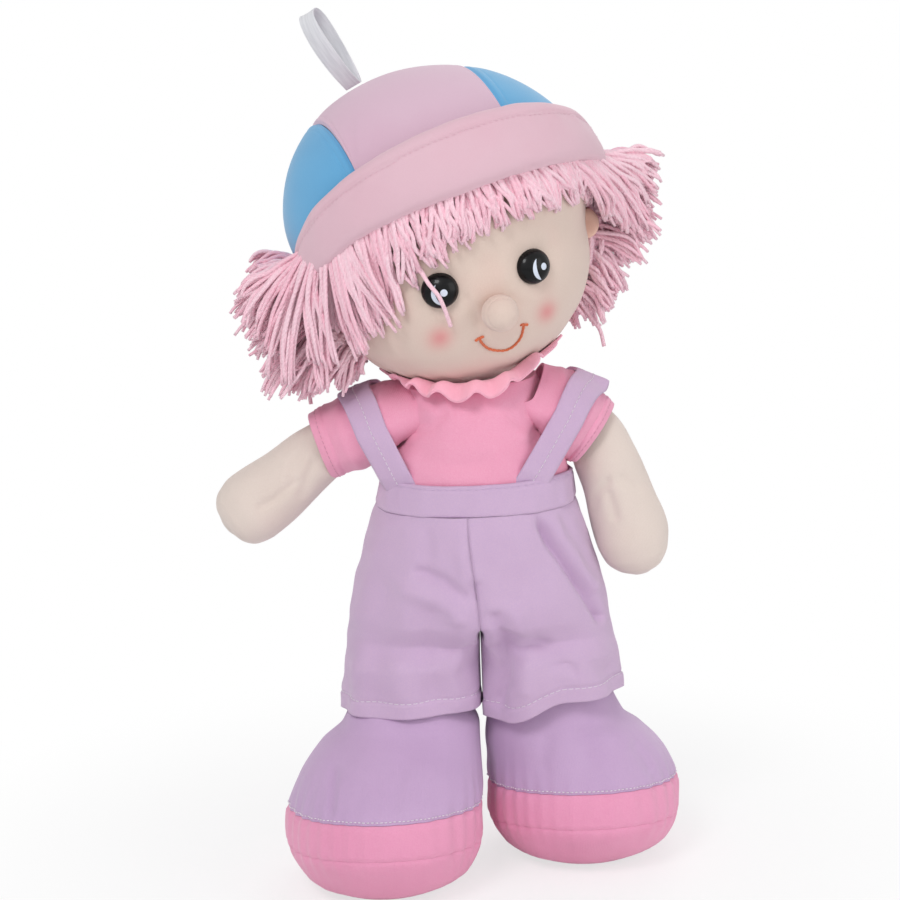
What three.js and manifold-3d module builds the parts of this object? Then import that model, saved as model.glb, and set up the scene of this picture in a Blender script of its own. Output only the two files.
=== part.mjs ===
import * as THREE from 'three';
import { mergeVertices } from 'three/addons/utils/BufferGeometryUtils.js';
import Module from 'manifold-3d';

// A stuffed rag doll with a capped head, standing on its padded shoes. Lengths are millimetres. X runs to the
// viewer's right, Y away from the viewer and Z up. Right and left are the doll's own.

const wasm = await Module();
wasm.setup();

// Cloth and clearances
const seamGap = 0.3;
const skinThickness = 1.2;
const clothThickness = 1.5;
const strapThickness = 2.2;
const padThickness = 3;
const collarRoom = 2.6;
const overrun = 12;

// Trunk and hips
const hipHeight = 130;
const hipSlack = 2;
const hipSpread = 28;
const trunkLength = 124;
const trunkHalfWidth = 46;
const trunkFrontDepth = 38;
const trunkBackDepth = 31;
const trunkFullness = 2.3;
const trunkShares = [
  { height: 0, width: 0.43, front: 0.04, back: 0.2 },
  { height: 0.05, width: 0.74, front: 0.18, back: 0.42 },
  { height: 0.115, width: 0.9, front: 0.4, back: 0.64 },
  { height: 0.2, width: 0.97, front: 0.72, back: 0.86 },
  { height: 0.32, width: 1, front: 0.96, back: 1 },
  { height: 0.46, width: 0.96, front: 1, back: 1 },
  { height: 0.64, width: 0.9, front: 0.99, back: 0.96 },
  { height: 0.71, width: 0.74, front: 0.97, back: 0.94 },
  { height: 0.77, width: 0.69, front: 0.92, back: 0.91 },
  { height: 0.87, width: 0.68, front: 0.82, back: 0.84 },
  { height: 0.94, width: 0.62, front: 0.68, back: 0.72 },
  { height: 1, width: 0.3, front: 0.3, back: 0.3 },
];

// Neck and the way that the head tips on it
const neckBallRadius = 9;
const neckTopRadius = 8;
const neckShift = 5.4;
const neckSeatDepth = 16;
const neckLength = 11.2;
const neckThreadRadius = 0.8;
const threadSectionCount = 6;
const necklineRadius = 16;
const headRollDegrees = -12.3;
const headYawDegrees = 13;
const tiltLimitsDegrees = [-2, 12];
const nodLimitsDegrees = [-8, 8];

// Head
const headRise = 51;
const headHalfWidth = 64;
const headHalfDepth = 56;
const headDrop = 55;
const headLowerShares = [0.992, 0.92, 0.74, 0.46, 0.2];
const headMiddleShares = [0.2, 0.5];
const headUpperShares = [0, 0.32, 0.58, 0.8, 0.94, 0.995];

// Face
const eyeSpread = 22.5;
const eyeDrop = 2;
const eyeHalfWidth = 9;
const eyeHalfHeight = 8.8;
const eyeDepth = 5.5;
const eyeStemRadius = 1.8;
const eyeStemLength = 12;
const eyeWasherRadius = 7;
const eyeWasherThickness = 1.5;
const eyeWasherDepth = 5;
const noseRadius = 8.5;
const noseShift = 2;
const noseDrop = 17;
const noseProudShare = 0.6;
const earHalfReach = 7.5;
const earHalfThickness = 3.6;
const earHalfHeight = 8;
const earRise = 3;
const earDegrees = 81;

// Cap
const capYawDegrees = -7.3;
const crownRise = 30;
const crownHalfWidth = 74;
const crownHalfDepth = 66;
const crownHalfHeight = 64.5;
const stripHalfWidth = 39.5;
const rimHeight = 26;
const rimPitchDegrees = 14;
const rimRollDegrees = 5;
const brimHeight = 28;
const brimTipHeight = 3;
const brimThickness = 9;
const brimTipThickness = 3.5;
const brimLean = 5;
const brimCentreDegrees = 11;
const brimSpanDegrees = 88;
const brimStepCount = 14;
const brimSectionShares = [
  [0, 0], [0.75, 0], [1, 0.22], [0.97, 0.6], [0.86, 0.9], [0.5, 1], [0.22, 0.9], [0.05, 0.5],
];

// Hanging loop
const loopLength = 41;
const loopHalfBulge = 9;
const ribbonThickness = 0.9;
const ribbonWidth = 9;
const loopAcross = -21;
const loopBack = 10;
const loopSeatGap = 0.4;
const loopLeanDegrees = -18;
const loopTurnDegrees = -30;
const loopStepCount = 18;

// Hair
const fringeThickness = 5;
const fringeLength = 21;
const fringeSideLength = 33;
const fringeSpanDegrees = 74;
const fringeLockCount = 14;
const lockDepthShare = 0.18;
const hairShares = [
  { down: 0, thick: 0.85 },
  { down: 0.3, thick: 1 },
  { down: 0.57, thick: 0.97 },
  { down: 0.8, thick: 0.85 },
  { down: 1, thick: 0.55 },
];
const hairRootGap = 0.9;
const hairSeatGap = 1.2;
const fringeSideShare = 0.38;
const napeEndShare = 0.55;
const tuftSeatGap = 1.8;
const napeThickness = 9;
const napeDrop = 40;
const napeSpanDegrees = 89;
const napeLockCount = 9;
const tuftReach = 108;
const tuftBack = 12;
const tuftHalfHeight = 37;
const tuftHalfDepth = 17;
const tuftLockCount = 5;
const tuftLockShare = 0.07;
const tuftShares = [
  { reach: 0.5, rise: 0.2, height: 0.4, depth: 0.5 },
  { reach: 0.66, rise: 0.02, height: 0.74, depth: 0.82 },
  { reach: 0.78, rise: -0.18, height: 1, depth: 1 },
  { reach: 0.89, rise: -0.24, height: 0.98, depth: 0.94 },
  { reach: 0.97, rise: -0.18, height: 0.72, depth: 0.68 },
  { reach: 1, rise: -0.12, height: 0.3, depth: 0.3 },
];

// Shirt
const shirtHemShare = 0.46;
const armholeRadius = 12;
const sleeveEndRadius = 16.8;
const rightSleeveRootHeight = 18.5;
const leftSleeveRootHeight = 21;
const sleeveRootDepth = 26;
const sleeveShares = [0, 0.3, 0.6, 0.85, 1];
const ruffleInnerWidth = 29;
const ruffleInnerDepth = 29.5;
const ruffleOuterWidth = 41;
const ruffleOuterDepth = 41;
const ruffleSeatDrop = 6.5;
const ruffleFlareDrop = 6;
const ruffleInnerRise = 1.5;
const ruffleSideRise = 13;
const ruffleRollShare = 0.12;
const ruffleWave = 1.6;
const ruffleWaveCount = 12;
const ruffleStepCount = 48;
const ruffleThickness = 1.3;

// Dungarees
const waistShare = 0.444;
const waistbandWidth = 13;
const strapWidth = 15.5;
const strapFootOut = 35;
const strapTopOut = 53.5;
const strapRearOut = 22;
const strapSideDepth = 20;
const strapLap = 3;
const seatHalfWidth = 59;
const seatFrontDepth = 44;
const seatBackDepth = 38;
const shortsLegOut = 34.5;
const shortsLegHalfWidth = 32;
const shortsLegHalfDepth = 37;
const shortsHemHeight = 80;
const foldDepthShare = 0.035;
const foldCount = 7;
const crotchHeight = 126;
const seatFullness = 2.2;
const seatShares = [
  { height: 1, width: 0.815, front: 0.96, back: 0.93 },
  { height: 0.86, width: 0.86, front: 0.985, back: 0.96 },
  { height: 0.6, width: 0.93, front: 1, back: 1 },
  { height: 0.3, width: 0.985, front: 1, back: 1 },
  { height: 0.12, width: 1, front: 0.96, back: 0.96 },
  { height: 0, width: 0.97, front: 0.84, back: 0.84 },
  { height: -0.09, width: 0.85, front: 0.66, back: 0.66 },
];
const shortsLegShares = [
  { height: 1, width: 0.7, depth: 0.8, out: 0.9 },
  { height: 0.84, width: 0.86, depth: 0.97, out: 0.94 },
  { height: 0.6, width: 0.92, depth: 1, out: 0.97 },
  { height: 0.3, width: 0.97, depth: 0.96, out: 1 },
  { height: 0, width: 1, depth: 0.9, out: 1 },
];

// Arms
const shoulderTabRadius = 17;
const shoulderTabThickness = 2.4;
const shoulderTabHeight = 13;
const armHalfWidth = 18;
const armHalfDepth = 15.4;
const armShares = [
  { along: 0, width: 0.5, depth: 0.22 },
  { along: 0.14, width: 0.58, depth: 0.42 },
  { along: 0.26, width: 0.72, depth: 0.68 },
  { along: 0.4, width: 0.84, depth: 0.86 },
  { along: 0.55, width: 0.89, depth: 0.94 },
  { along: 0.7, width: 0.96, depth: 0.97 },
  { along: 0.82, width: 1, depth: 1 },
  { along: 0.91, width: 0.88, depth: 0.88 },
  { along: 0.97, width: 0.6, depth: 0.6 },
  { along: 1, width: 0.22, depth: 0.22 },
];

// Legs and shoes
const footSpread = 49.5;
const shoeHalfWidth = 47.8;
const shoeHalfLength = 59;
const soleSeamHeight = 24;
const shoeSeamHeight = 42.5;
const shoeFullness = 2.15;
const soleFlatDepth = 0.5;
const legShares = [
  { height: 0, width: 0.66, length: 0.76, inward: 0, level: 0 },
  { height: 0.031, width: 0.816, length: 0.864, inward: 0, level: 0 },
  { height: 0.078, width: 0.91, length: 0.932, inward: 0, level: 0 },
  { height: 0.219, width: 1, length: 1, inward: 0, level: 0 },
  { height: 0.297, width: 0.983, length: 0.983, inward: 0, level: 0 },
  { height: 0.352, width: 0.946, length: 0.94, inward: 0, level: 0.03 },
  { height: 0.445, width: 0.795, length: 0.763, inward: 0.03, level: 0.25 },
  { height: 0.547, width: 0.58, length: 0.54, inward: 0.13, level: 0.6 },
  { height: 0.61, width: 0.527, length: 0.46, inward: 0.33, level: 0.75 },
  { height: 0.78, width: 0.51, length: 0.4, inward: 0.67, level: 0.94 },
  { height: 0.875, width: 0.48, length: 0.32, inward: 0.84, level: 1 },
  { height: 1, width: 0.38, length: 0.055, inward: 1, level: 1 },
];

// Sides: the doll steps forward with its right foot and holds its right arm further out
const rightFootForward = 17;
const leftFootForward = -20;
const rightShoulderShare = 0.806;
const leftShoulderShare = 0.839;
const rightElbowOut = 36;
const rightElbowDown = 29;
const rightHandOut = 71.7;
const rightHandDown = 55;
const leftElbowOut = 17.7;
const leftElbowDown = 31;
const leftHandOut = 30.7;
const leftHandDown = 89;
const rightSleeveBendOut = 50;
const rightSleeveBendDrop = 8;
const rightSleeveEndOut = 73.6;
const rightSleeveEndDrop = 16;
const leftSleeveBendOut = 44;
const leftSleeveBendDrop = 9;
const leftSleeveEndOut = 57.5;
const leftSleeveEndDrop = 19;
const sleeveRootOut = 26;
const rightHemRise = 5;
const leftHemRise = 15;

// Facets
const bodyCount = 20;
const limbCount = 14;
const clothCount = 18;
const liningCount = bodyCount / 2;
const limbLiningCount = limbCount / 2;
const ballCount = 12;
const ballBandCount = 8;

// Places that follow from the sizes above
const legTopHeight = hipHeight - hipSlack;
const trunkBottomHeight = hipHeight + hipSlack;
const trunkTopHeight = trunkBottomHeight + trunkLength;
const waistHeight = trunkBottomHeight + trunkLength * waistShare;
const waistbandTopHeight = waistHeight + waistbandWidth;
const shirtGrow = seamGap + clothThickness;
const shoulderWidthShare = 0.69;
const shoulderOut = trunkHalfWidth * shoulderWidthShare + seamGap + shoulderTabRadius;
const neckBase = new THREE.Vector3(neckShift, 0, trunkTopHeight - neckSeatDepth);
const neckTop = neckBase.clone().setZ(neckBase.z + neckLength);
const axisX = new THREE.Vector3(1, 0, 0);
const axisY = new THREE.Vector3(0, 1, 0);
const axisZ = new THREE.Vector3(0, 0, 1);
const radians = THREE.MathUtils.degToRad;

const right = {
  name: 'right',
  sign: -1,
  footForward: rightFootForward,
  shoulderShare: rightShoulderShare,
  elbow: [rightElbowOut, rightElbowDown],
  hand: [rightHandOut, rightHandDown],
  sleeveBend: [rightSleeveBendOut, rightSleeveBendDrop],
  sleeveEnd: [rightSleeveEndOut, rightSleeveEndDrop],
  sleeveRootHeight: rightSleeveRootHeight,
  hemRise: rightHemRise,
};
const left = {
  name: 'left',
  sign: 1,
  footForward: leftFootForward,
  shoulderShare: leftShoulderShare,
  elbow: [leftElbowOut, leftElbowDown],
  hand: [leftHandOut, leftHandDown],
  sleeveBend: [leftSleeveBendOut, leftSleeveBendDrop],
  sleeveEnd: [leftSleeveEndOut, leftSleeveEndDrop],
  sleeveRootHeight: leftSleeveRootHeight,
  hemRise: leftHemRise,
};

// Signed volume of a closed mesh: positive when its faces point out.
function signedVolume(points, faces) {
  let total = 0;
  for (let face = 0; face < faces.length; face += 3) {
    const [a, b, c] = [points[faces[face]], points[faces[face + 1]], points[faces[face + 2]]];
    total += a.dot(new THREE.Vector3().crossVectors(b, c));
  }
  return total;
}

function average(points) {
  const sum = points.reduce((total, point) => total.add(point), new THREE.Vector3());
  return sum.divideScalar(points.length);
}

// Skin between neighbouring rings of equal length, capped at both ends or joined into a hoop.
function loft(rings, hoop = false) {
  const count = rings[0].length;
  const points = rings.flat();
  const faces = [];
  const bands = hoop ? rings.length : rings.length - 1;
  for (let band = 0; band < bands; band += 1) {
    const lower = band * count;
    const upper = ((band + 1) % rings.length) * count;
    for (let index = 0; index < count; index += 1) {
      const next = (index + 1) % count;
      faces.push(lower + index, lower + next, upper + next);
      faces.push(lower + index, upper + next, upper + index);
    }
  }
  if (!hoop) {
    const last = (rings.length - 1) * count;
    points.push(average(rings[0]), average(rings[rings.length - 1]));
    for (let index = 0; index < count; index += 1) {
      const next = (index + 1) % count;
      faces.push(points.length - 2, next, index);
      faces.push(points.length - 1, last + index, last + next);
    }
  }
  if (signedVolume(points, faces) < 0) {
    faces.reverse();
  }
  const geometry = new THREE.BufferGeometry();
  const flat = points.flatMap((point) => point.toArray());
  geometry.setAttribute('position', new THREE.Float32BufferAttribute(flat, 3));
  geometry.setIndex(faces);
  return geometry;
}

function solidOf(geometry) {
  const bare = new THREE.BufferGeometry();
  bare.setAttribute('position', geometry.getAttribute('position').clone());
  bare.setIndex(geometry.index ? geometry.index.clone() : null);
  const merged = mergeVertices(bare);
  const vertProperties = new Float32Array(merged.getAttribute('position').array);
  const triVerts = new Uint32Array(merged.index.array);
  return new wasm.Manifold(new wasm.Mesh({ numProp: 3, vertProperties, triVerts }));
}

function geometryOf(solid) {
  const mesh = solid.getMesh();
  const geometry = new THREE.BufferGeometry();
  geometry.setAttribute('position', new THREE.BufferAttribute(mesh.vertProperties.slice(), 3));
  geometry.setIndex(new THREE.BufferAttribute(mesh.triVerts.slice(), 1));
  geometry.computeVertexNormals();
  return geometry;
}

function cutBy(solid, ...cutters) {
  return cutters.reduce((rest, cutter) => rest.subtract(cutter), solid);
}

function joined(...solids) {
  return solids.reduce((whole, solid) => whole.add(solid));
}

function cloth(colour, roughness = 0.92) {
  return new THREE.MeshStandardMaterial({ color: colour, roughness, metalness: 0 });
}

function addPiece(parent, name, solid, material) {
  const mesh = new THREE.Mesh(geometryOf(solid), material);
  mesh.name = name;
  parent.add(mesh);
}

// A cosine or sine drawn towards a square section as the power rises from 2.
function fuller(value, power) {
  return Math.sign(value) * Math.abs(value) ** (2 / power);
}

// A ring about a centre: it reaches width along across, front against deep and back along deep.
function ring({ centre, across, deep, width, front, back = front, power = 2, fold = () => 1 }, count) {
  return Array.from({ length: count }, (_, index) => {
    const angle = (index / count) * 2 * Math.PI;
    const side = fuller(Math.cos(angle), power) * width * fold(angle);
    const depth = fuller(Math.sin(angle), power) * (Math.sin(angle) > 0 ? back : front) * fold(angle);
    return centre.clone().addScaledVector(across, side).addScaledVector(deep, depth);
  });
}

// Heights of end rings move out with the growth, so that a grown form is larger all round.
function grownHeight(height, index, count, grow) {
  if (index === 0) {
    return height - grow;
  }
  return index === count - 1 ? height + grow : height;
}

function ellipsoid(radii, centre, count = ballCount, bands = ballBandCount) {
  const sphere = new THREE.SphereGeometry(1, count, bands).rotateX(Math.PI / 2);
  return solidOf(sphere.scale(...radii).translate(...centre));
}

function ball(radius, centre) {
  return ellipsoid([radius, radius, radius], centre);
}

// A faceted ball whose flats stay outside a radius, for a ball or a turning piece to sit in
function room(radius, centre) {
  const flats = Math.cos(Math.PI / ballCount) * Math.cos(Math.PI / (2 * ballBandCount));
  return ball(radius / flats, centre);
}

function block(size, centre, turn = new THREE.Matrix4()) {
  return solidOf(new THREE.BoxGeometry(...size).applyMatrix4(turn).translate(...centre));
}

// Everything between two heights
function layer(lowHeight, highHeight) {
  const reach = 4 * (trunkHalfWidth + footSpread);
  return block([reach, reach, highHeight - lowHeight], [0, 0, (lowHeight + highHeight) / 2]);
}

// Forms

function trunkForm(grow, count = bodyCount) {
  const rings = trunkShares.map((share, index) => {
    const height = trunkBottomHeight + trunkLength * share.height;
    return ring({
      centre: new THREE.Vector3(0, 0, grownHeight(height, index, trunkShares.length, grow)),
      across: axisX,
      deep: axisY,
      width: trunkHalfWidth * share.width + grow,
      front: trunkFrontDepth * share.front + grow,
      back: trunkBackDepth * share.back + grow,
      power: trunkFullness,
    }, count);
  });
  return solidOf(loft(rings));
}

// Width and depth of the head at a height above its middle: a ball below, the padded crown's inside above.
function headReach(height, grow) {
  const drop = headDrop + grow;
  const innerWidth = crownHalfWidth - padThickness - seamGap + grow;
  const innerDepth = crownHalfDepth - padThickness - seamGap + grow;
  const innerHeight = crownHalfHeight - padThickness - seamGap + grow;
  if (height < 0) {
    const round = Math.sqrt(Math.max(1 - (height / drop) ** 2, 0));
    return { width: (headHalfWidth + grow) * round, depth: (headHalfDepth + grow) * round };
  }
  if (height < crownRise) {
    const blend = THREE.MathUtils.smoothstep(height, 0, crownRise);
    return {
      width: THREE.MathUtils.lerp(headHalfWidth + grow, innerWidth, blend),
      depth: THREE.MathUtils.lerp(headHalfDepth + grow, innerDepth, blend),
    };
  }
  const round = Math.sqrt(Math.max(1 - ((height - crownRise) / innerHeight) ** 2, 0));
  return { width: innerWidth * round, depth: innerDepth * round };
}

function headForm(grow, count = bodyCount) {
  const innerHeight = crownHalfHeight - padThickness - seamGap + grow;
  const lower = headLowerShares.map((share) => -share * (headDrop + grow));
  const upper = headUpperShares.map((share) => crownRise + share * innerHeight);
  const middle = headMiddleShares.map((share) => share * crownRise);
  const heights = [...lower, ...middle, ...upper];
  const rings = heights.map((height) => {
    const reach = headReach(height, grow);
    const centre = new THREE.Vector3(0, 0, height);
    return ring({ centre, across: axisX, deep: axisY, width: reach.width, front: reach.depth }, count);
  });
  return loft(rings);
}

// A point beside the head's surface: the angle turns from the face towards the doll's left.
function headPoint(angle, height, offset) {
  const reach = headReach(height, 0);
  const x = (reach.width + offset) * Math.sin(angle);
  const y = -(reach.depth + offset) * Math.cos(angle);
  return new THREE.Vector3(x, y, height);
}

function crownForm(grow) {
  const radii = [crownHalfWidth + grow, crownHalfDepth + grow, crownHalfHeight + grow];
  return ellipsoid(radii, [0, 0, crownRise], bodyCount, ballCount);
}

// Height of the cap's rim plane over a point of the head
function rimAt(x, y) {
  const roll = Math.tan(radians(rimRollDegrees)) * x;
  const pitch = Math.tan(radians(rimPitchDegrees)) * y;
  return rimHeight + roll - pitch;
}

function capTurn() {
  return new THREE.Matrix4().makeRotationZ(radians(capYawDegrees));
}

// The same plane over a point given in the head's frame, which is turned from the cap's
function rimOver(x, y) {
  const spot = new THREE.Vector3(x, y, 0).applyMatrix4(capTurn().invert());
  return rimAt(spot.x, spot.y);
}

function turnedSolid(solid, matrix) {
  return solidOf(geometryOf(solid).applyMatrix4(matrix));
}

function headMatrix() {
  const roll = new THREE.Matrix4().makeRotationY(radians(headRollDegrees));
  const yaw = new THREE.Matrix4().makeRotationZ(radians(headYawDegrees));
  const place = new THREE.Matrix4().makeTranslation(...neckTop.toArray());
  const rise = new THREE.Matrix4().makeTranslation(0, 0, headRise);
  return place.multiply(roll).multiply(rise).multiply(yaw);
}

// A turn about an axis through a point
function turnAbout(point, axis, degrees) {
  const there = new THREE.Matrix4().makeTranslation(...point.toArray());
  const back = new THREE.Matrix4().makeTranslation(...point.clone().negate().toArray());
  return there.multiply(new THREE.Matrix4().makeRotationAxis(axis, radians(degrees))).multiply(back);
}

// The space that the head takes up at the limits of its tilt and nod, which dishes the top of the trunk
function headSweep() {
  const poses = [];
  for (const tilt of tiltLimitsDegrees) {
    for (const nod of nodLimitsDegrees) {
      const tilted = turnAbout(neckBase, axisY, tilt);
      poses.push(tilted.multiply(turnAbout(neckTop, axisX, nod)).multiply(headMatrix()));
    }
  }
  return joined(...poses.map((pose) => solidOf(headForm(collarRoom, ballCount).applyMatrix4(pose))));
}

function shoulderPoint(side) {
  const height = trunkBottomHeight + trunkLength * side.shoulderShare;
  return new THREE.Vector3(side.sign * shoulderOut, 0, height);
}

// A curve in the doll's front plane from a start through a pull point to an end, all out and down from the start
function frontCurve(start, sign, bend, end) {
  const pull = new THREE.Vector3(start.x + sign * bend[0], start.y, start.z - bend[1]);
  const finish = new THREE.Vector3(start.x + sign * end[0], start.y, start.z - end[1]);
  return new THREE.QuadraticBezierCurve3(start, pull, finish);
}

// A ring square to a curve in the front plane
function ringOnCurve(curve, along, width, depth, count) {
  const tangent = curve.getTangent(along);
  const across = new THREE.Vector3(-tangent.z, 0, tangent.x);
  return ring({ centre: curve.getPoint(along), across, deep: axisY, width, front: depth }, count);
}

function armCurve(side) {
  return frontCurve(shoulderPoint(side), side.sign, side.elbow, side.hand);
}

function armForm(side, grow, count = limbCount) {
  const curve = armCurve(side);
  const rings = armShares.map((share, index) => {
    const points = ringOnCurve(
      curve,
      share.along,
      armHalfWidth * share.width + grow,
      armHalfDepth * share.depth + grow,
      count,
    );
    const last = index === armShares.length - 1;
    return last ? points.map((point) => point.addScaledVector(curve.getTangent(1), grow)) : points;
  });
  return solidOf(loft(rings));
}

// The flat unstuffed tab that runs from the trunk to the shoulder and on to the arm, with round ends
function shoulderTab(side, grow) {
  const shoulder = shoulderPoint(side);
  const radius = shoulderTabRadius + grow;
  const thickness = shoulderTabThickness + 2 * grow;
  const disc = new THREE.CylinderGeometry(radius, radius, thickness, bodyCount);
  const bars = [new THREE.Vector3(-side.sign, 0, 0), armCurve(side).getTangent(0)].map((way) => {
    const turn = new THREE.Matrix4().makeRotationY(Math.atan2(-way.z, way.x));
    const place = shoulder.clone().addScaledVector(way, radius / 2);
    return block([radius + shoulderTabHeight / 2, thickness, shoulderTabHeight + 2 * grow], place.toArray(), turn);
  });
  return solidOf(disc.translate(...shoulder.toArray())).intersect(joined(...bars));
}

function sleeveForm(side, grow) {
  const shoulder = shoulderPoint(side);
  const start = new THREE.Vector3(side.sign * sleeveRootOut, 0, shoulder.z);
  const bend = [side.sleeveBend[0] - sleeveRootOut, side.sleeveBend[1]];
  const end = [side.sleeveEnd[0] - sleeveRootOut, side.sleeveEnd[1]];
  const curve = frontCurve(start, side.sign, bend, end);
  const rings = sleeveShares.map((share) => {
    const taper = share ** 3;
    const width = THREE.MathUtils.lerp(side.sleeveRootHeight, sleeveEndRadius, taper) + grow;
    const depth = THREE.MathUtils.lerp(sleeveRootDepth, sleeveEndRadius, taper) + grow;
    return ringOnCurve(curve, share, width, depth, limbCount);
  });
  return solidOf(loft(grow < 0 ? openEnds(rings, curve) : rings));
}

// A hollow's rings, carried on past both ends so that it opens them
function openEnds(rings, curve) {
  const before = curve.getTangent(0).multiplyScalar(-overrun);
  const after = curve.getTangent(1).multiplyScalar(overrun);
  const first = rings[0].map((point) => point.clone().add(before));
  const last = rings[rings.length - 1].map((point) => point.clone().add(after));
  return [first, ...rings, last];
}

function legForm(side, grow, count = limbCount) {
  const rings = legShares.map((share, index) => {
    const out = THREE.MathUtils.lerp(footSpread, hipSpread, share.inward);
    const forward = side.footForward * (1 - share.level);
    const bottom = index === 0 ? soleFlatDepth : 0;
    const height = grownHeight(legTopHeight * share.height - bottom, index, legShares.length, grow);
    return ring({
      centre: new THREE.Vector3(side.sign * out, -forward, height),
      across: axisX,
      deep: axisY,
      width: shoeHalfWidth * share.width + grow,
      front: shoeHalfLength * share.length + grow,
      power: shoeFullness,
    }, count);
  });
  return solidOf(loft(rings));
}

// The seat of the dungarees round both hips, and the flared tube round each thigh
function seatForm(grow) {
  const height = waistHeight - seamGap - crotchHeight;
  const rings = seatShares.map((share, index) => {
    const top = index === 0 && grow < 0 ? overrun : 0;
    const bottom = index === seatShares.length - 1 ? grow : 0;
    return ring({
      centre: new THREE.Vector3(0, 0, crotchHeight + height * share.height + top - bottom),
      across: axisX,
      deep: axisY,
      width: seatHalfWidth * share.width + grow,
      front: seatFrontDepth * share.front + grow,
      back: seatBackDepth * share.back + grow,
      power: seatFullness,
    }, clothCount);
  });
  return solidOf(loft(rings));
}

function shortsLegForm(side, grow) {
  const height = crotchHeight + waistbandWidth - shortsHemHeight;
  const foldAt = (share) => (angle) => {
    return 1 + foldDepthShare * (1 - share.height) * Math.cos(foldCount * angle + side.sign);
  };
  const rings = shortsLegShares.map((share) => {
    return ring({
      centre: new THREE.Vector3(side.sign * shortsLegOut * share.out, 0, shortsHemHeight + height * share.height),
      across: axisX,
      deep: axisY,
      width: shortsLegHalfWidth * share.width + grow,
      front: shortsLegHalfDepth * share.depth + grow,
      power: seatFullness,
      fold: foldAt(share),
    }, clothCount);
  });
  const hem = rings[rings.length - 1];
  if (grow < 0) {
    rings.push(hem.map((point) => point.clone().setZ(point.z - overrun)));
  } else {
    hem.forEach((point) => point.setZ(point.z + side.hemRise * Math.max(-point.y / shortsLegHalfDepth, 0) ** 2));
  }
  return solidOf(loft(rings));
}

// Pieces of the trunk

function trunkPieces(doll, dish) {
  const pocket = room(neckBallRadius + seamGap, neckBase.toArray());
  const cover = cutBy(trunkForm(0), trunkForm(-skinThickness, liningCount), dish, pocket);
  const filling = cutBy(trunkForm(-skinThickness - seamGap, liningCount), dish, pocket);
  addPiece(doll, 'torso_cover', cover, cloth(0xd9c6b8));
  addPiece(doll, 'torso_filling', filling, cloth(0xf4f2ee, 1));
}

function neckPieces(doll) {
  const lower = ball(neckBallRadius, neckBase.toArray());
  const upper = ball(neckTopRadius, neckTop.toArray());
  addPiece(doll, 'neck_stub', joined(lower, upper), cloth(0xdcc8b8));
  const centre = neckTopRadius + seamGap + neckThreadRadius;
  const profile = Array.from({ length: threadSectionCount + 1 }, (_, index) => {
    const angle = (index / threadSectionCount) * 2 * Math.PI;
    return new THREE.Vector2(centre + neckThreadRadius * Math.cos(angle), neckThreadRadius * Math.sin(angle));
  });
  const thread = new THREE.LatheGeometry(profile, limbCount).rotateX(Math.PI / 2);
  const turn = new THREE.Matrix4().makeRotationY(radians(headRollDegrees));
  const placed = thread.applyMatrix4(turn).translate(...neckTop.toArray());
  addPiece(doll, 'neck_thread', solidOf(placed), cloth(0xe8ddd4));
}

function sleeveInside(side) {
  return sleeveForm(side, -clothThickness);
}

function shirtPieces(doll, dish) {
  const hem = trunkBottomHeight + trunkLength * shirtHemShare;
  const neckline = solidOf(new THREE.CylinderGeometry(necklineRadius, necklineRadius, 4 * overrun, bodyCount)
    .rotateX(Math.PI / 2)
    .translate(...neckBase.toArray()));
  const armholes = [right, left].map((side) => {
    const shoulder = shoulderPoint(side);
    const hole = new THREE.CylinderGeometry(armholeRadius, armholeRadius, trunkHalfWidth, limbCount);
    return solidOf(hole.rotateZ(Math.PI / 2).translate(shoulder.x, 0, shoulder.z));
  });
  const body = trunkForm(shirtGrow).intersect(layer(hem, trunkTopHeight + overrun));
  addPiece(doll, 'tshirt', cutBy(body, trunkForm(seamGap), dish, neckline, ...armholes), cloth(0xf096b9));
  for (const side of [right, left]) {
    const inner = joined(sleeveInside(side), armForm(side, seamGap), shoulderTab(side, seamGap));
    const sleeve = cutBy(sleeveForm(side, 0), inner, trunkForm(shirtGrow + seamGap), dish);
    addPiece(doll, `sleeve_${side.name}`, sleeve, cloth(0xee90b5));
  }
}

// A gathered frill round the neckline
function collarRuffle() {
  const seat = trunkTopHeight - ruffleSeatDrop;
  const rings = Array.from({ length: ruffleStepCount }, (_, step) => {
    const angle = (step / ruffleStepCount) * 2 * Math.PI;
    const wave = ruffleWave * Math.cos(ruffleWaveCount * angle);
    const flank = Math.cos(angle) ** 2;
    const inner = new THREE.Vector3(ruffleInnerWidth * Math.cos(angle), ruffleInnerDepth * Math.sin(angle), seat);
    const outer = new THREE.Vector3(
      (ruffleOuterWidth + wave) * Math.cos(angle),
      (ruffleOuterDepth + wave) * Math.sin(angle),
      seat - ruffleFlareDrop + wave,
    );
    inner.z += ruffleInnerRise * flank + ruffleRollShare * inner.x;
    outer.z += ruffleSideRise * flank + ruffleRollShare * outer.x;
    const up = new THREE.Vector3(0, 0, ruffleThickness);
    return [inner, outer, outer.clone().add(up), inner.clone().add(up)];
  });
  const chin = solidOf(headForm(seamGap).applyMatrix4(headMatrix()));
  return solidOf(loft(rings, true)).subtract(chin);
}

// Pieces of the dungarees

function waistband() {
  const inner = shirtGrow + seamGap;
  const band = trunkForm(inner + strapThickness).intersect(layer(waistHeight, waistbandTopHeight));
  return band.subtract(trunkForm(inner));
}

function shirtOuter(side, grow) {
  return joined(trunkForm(shirtGrow + grow), sleeveForm(side, grow));
}

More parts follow.
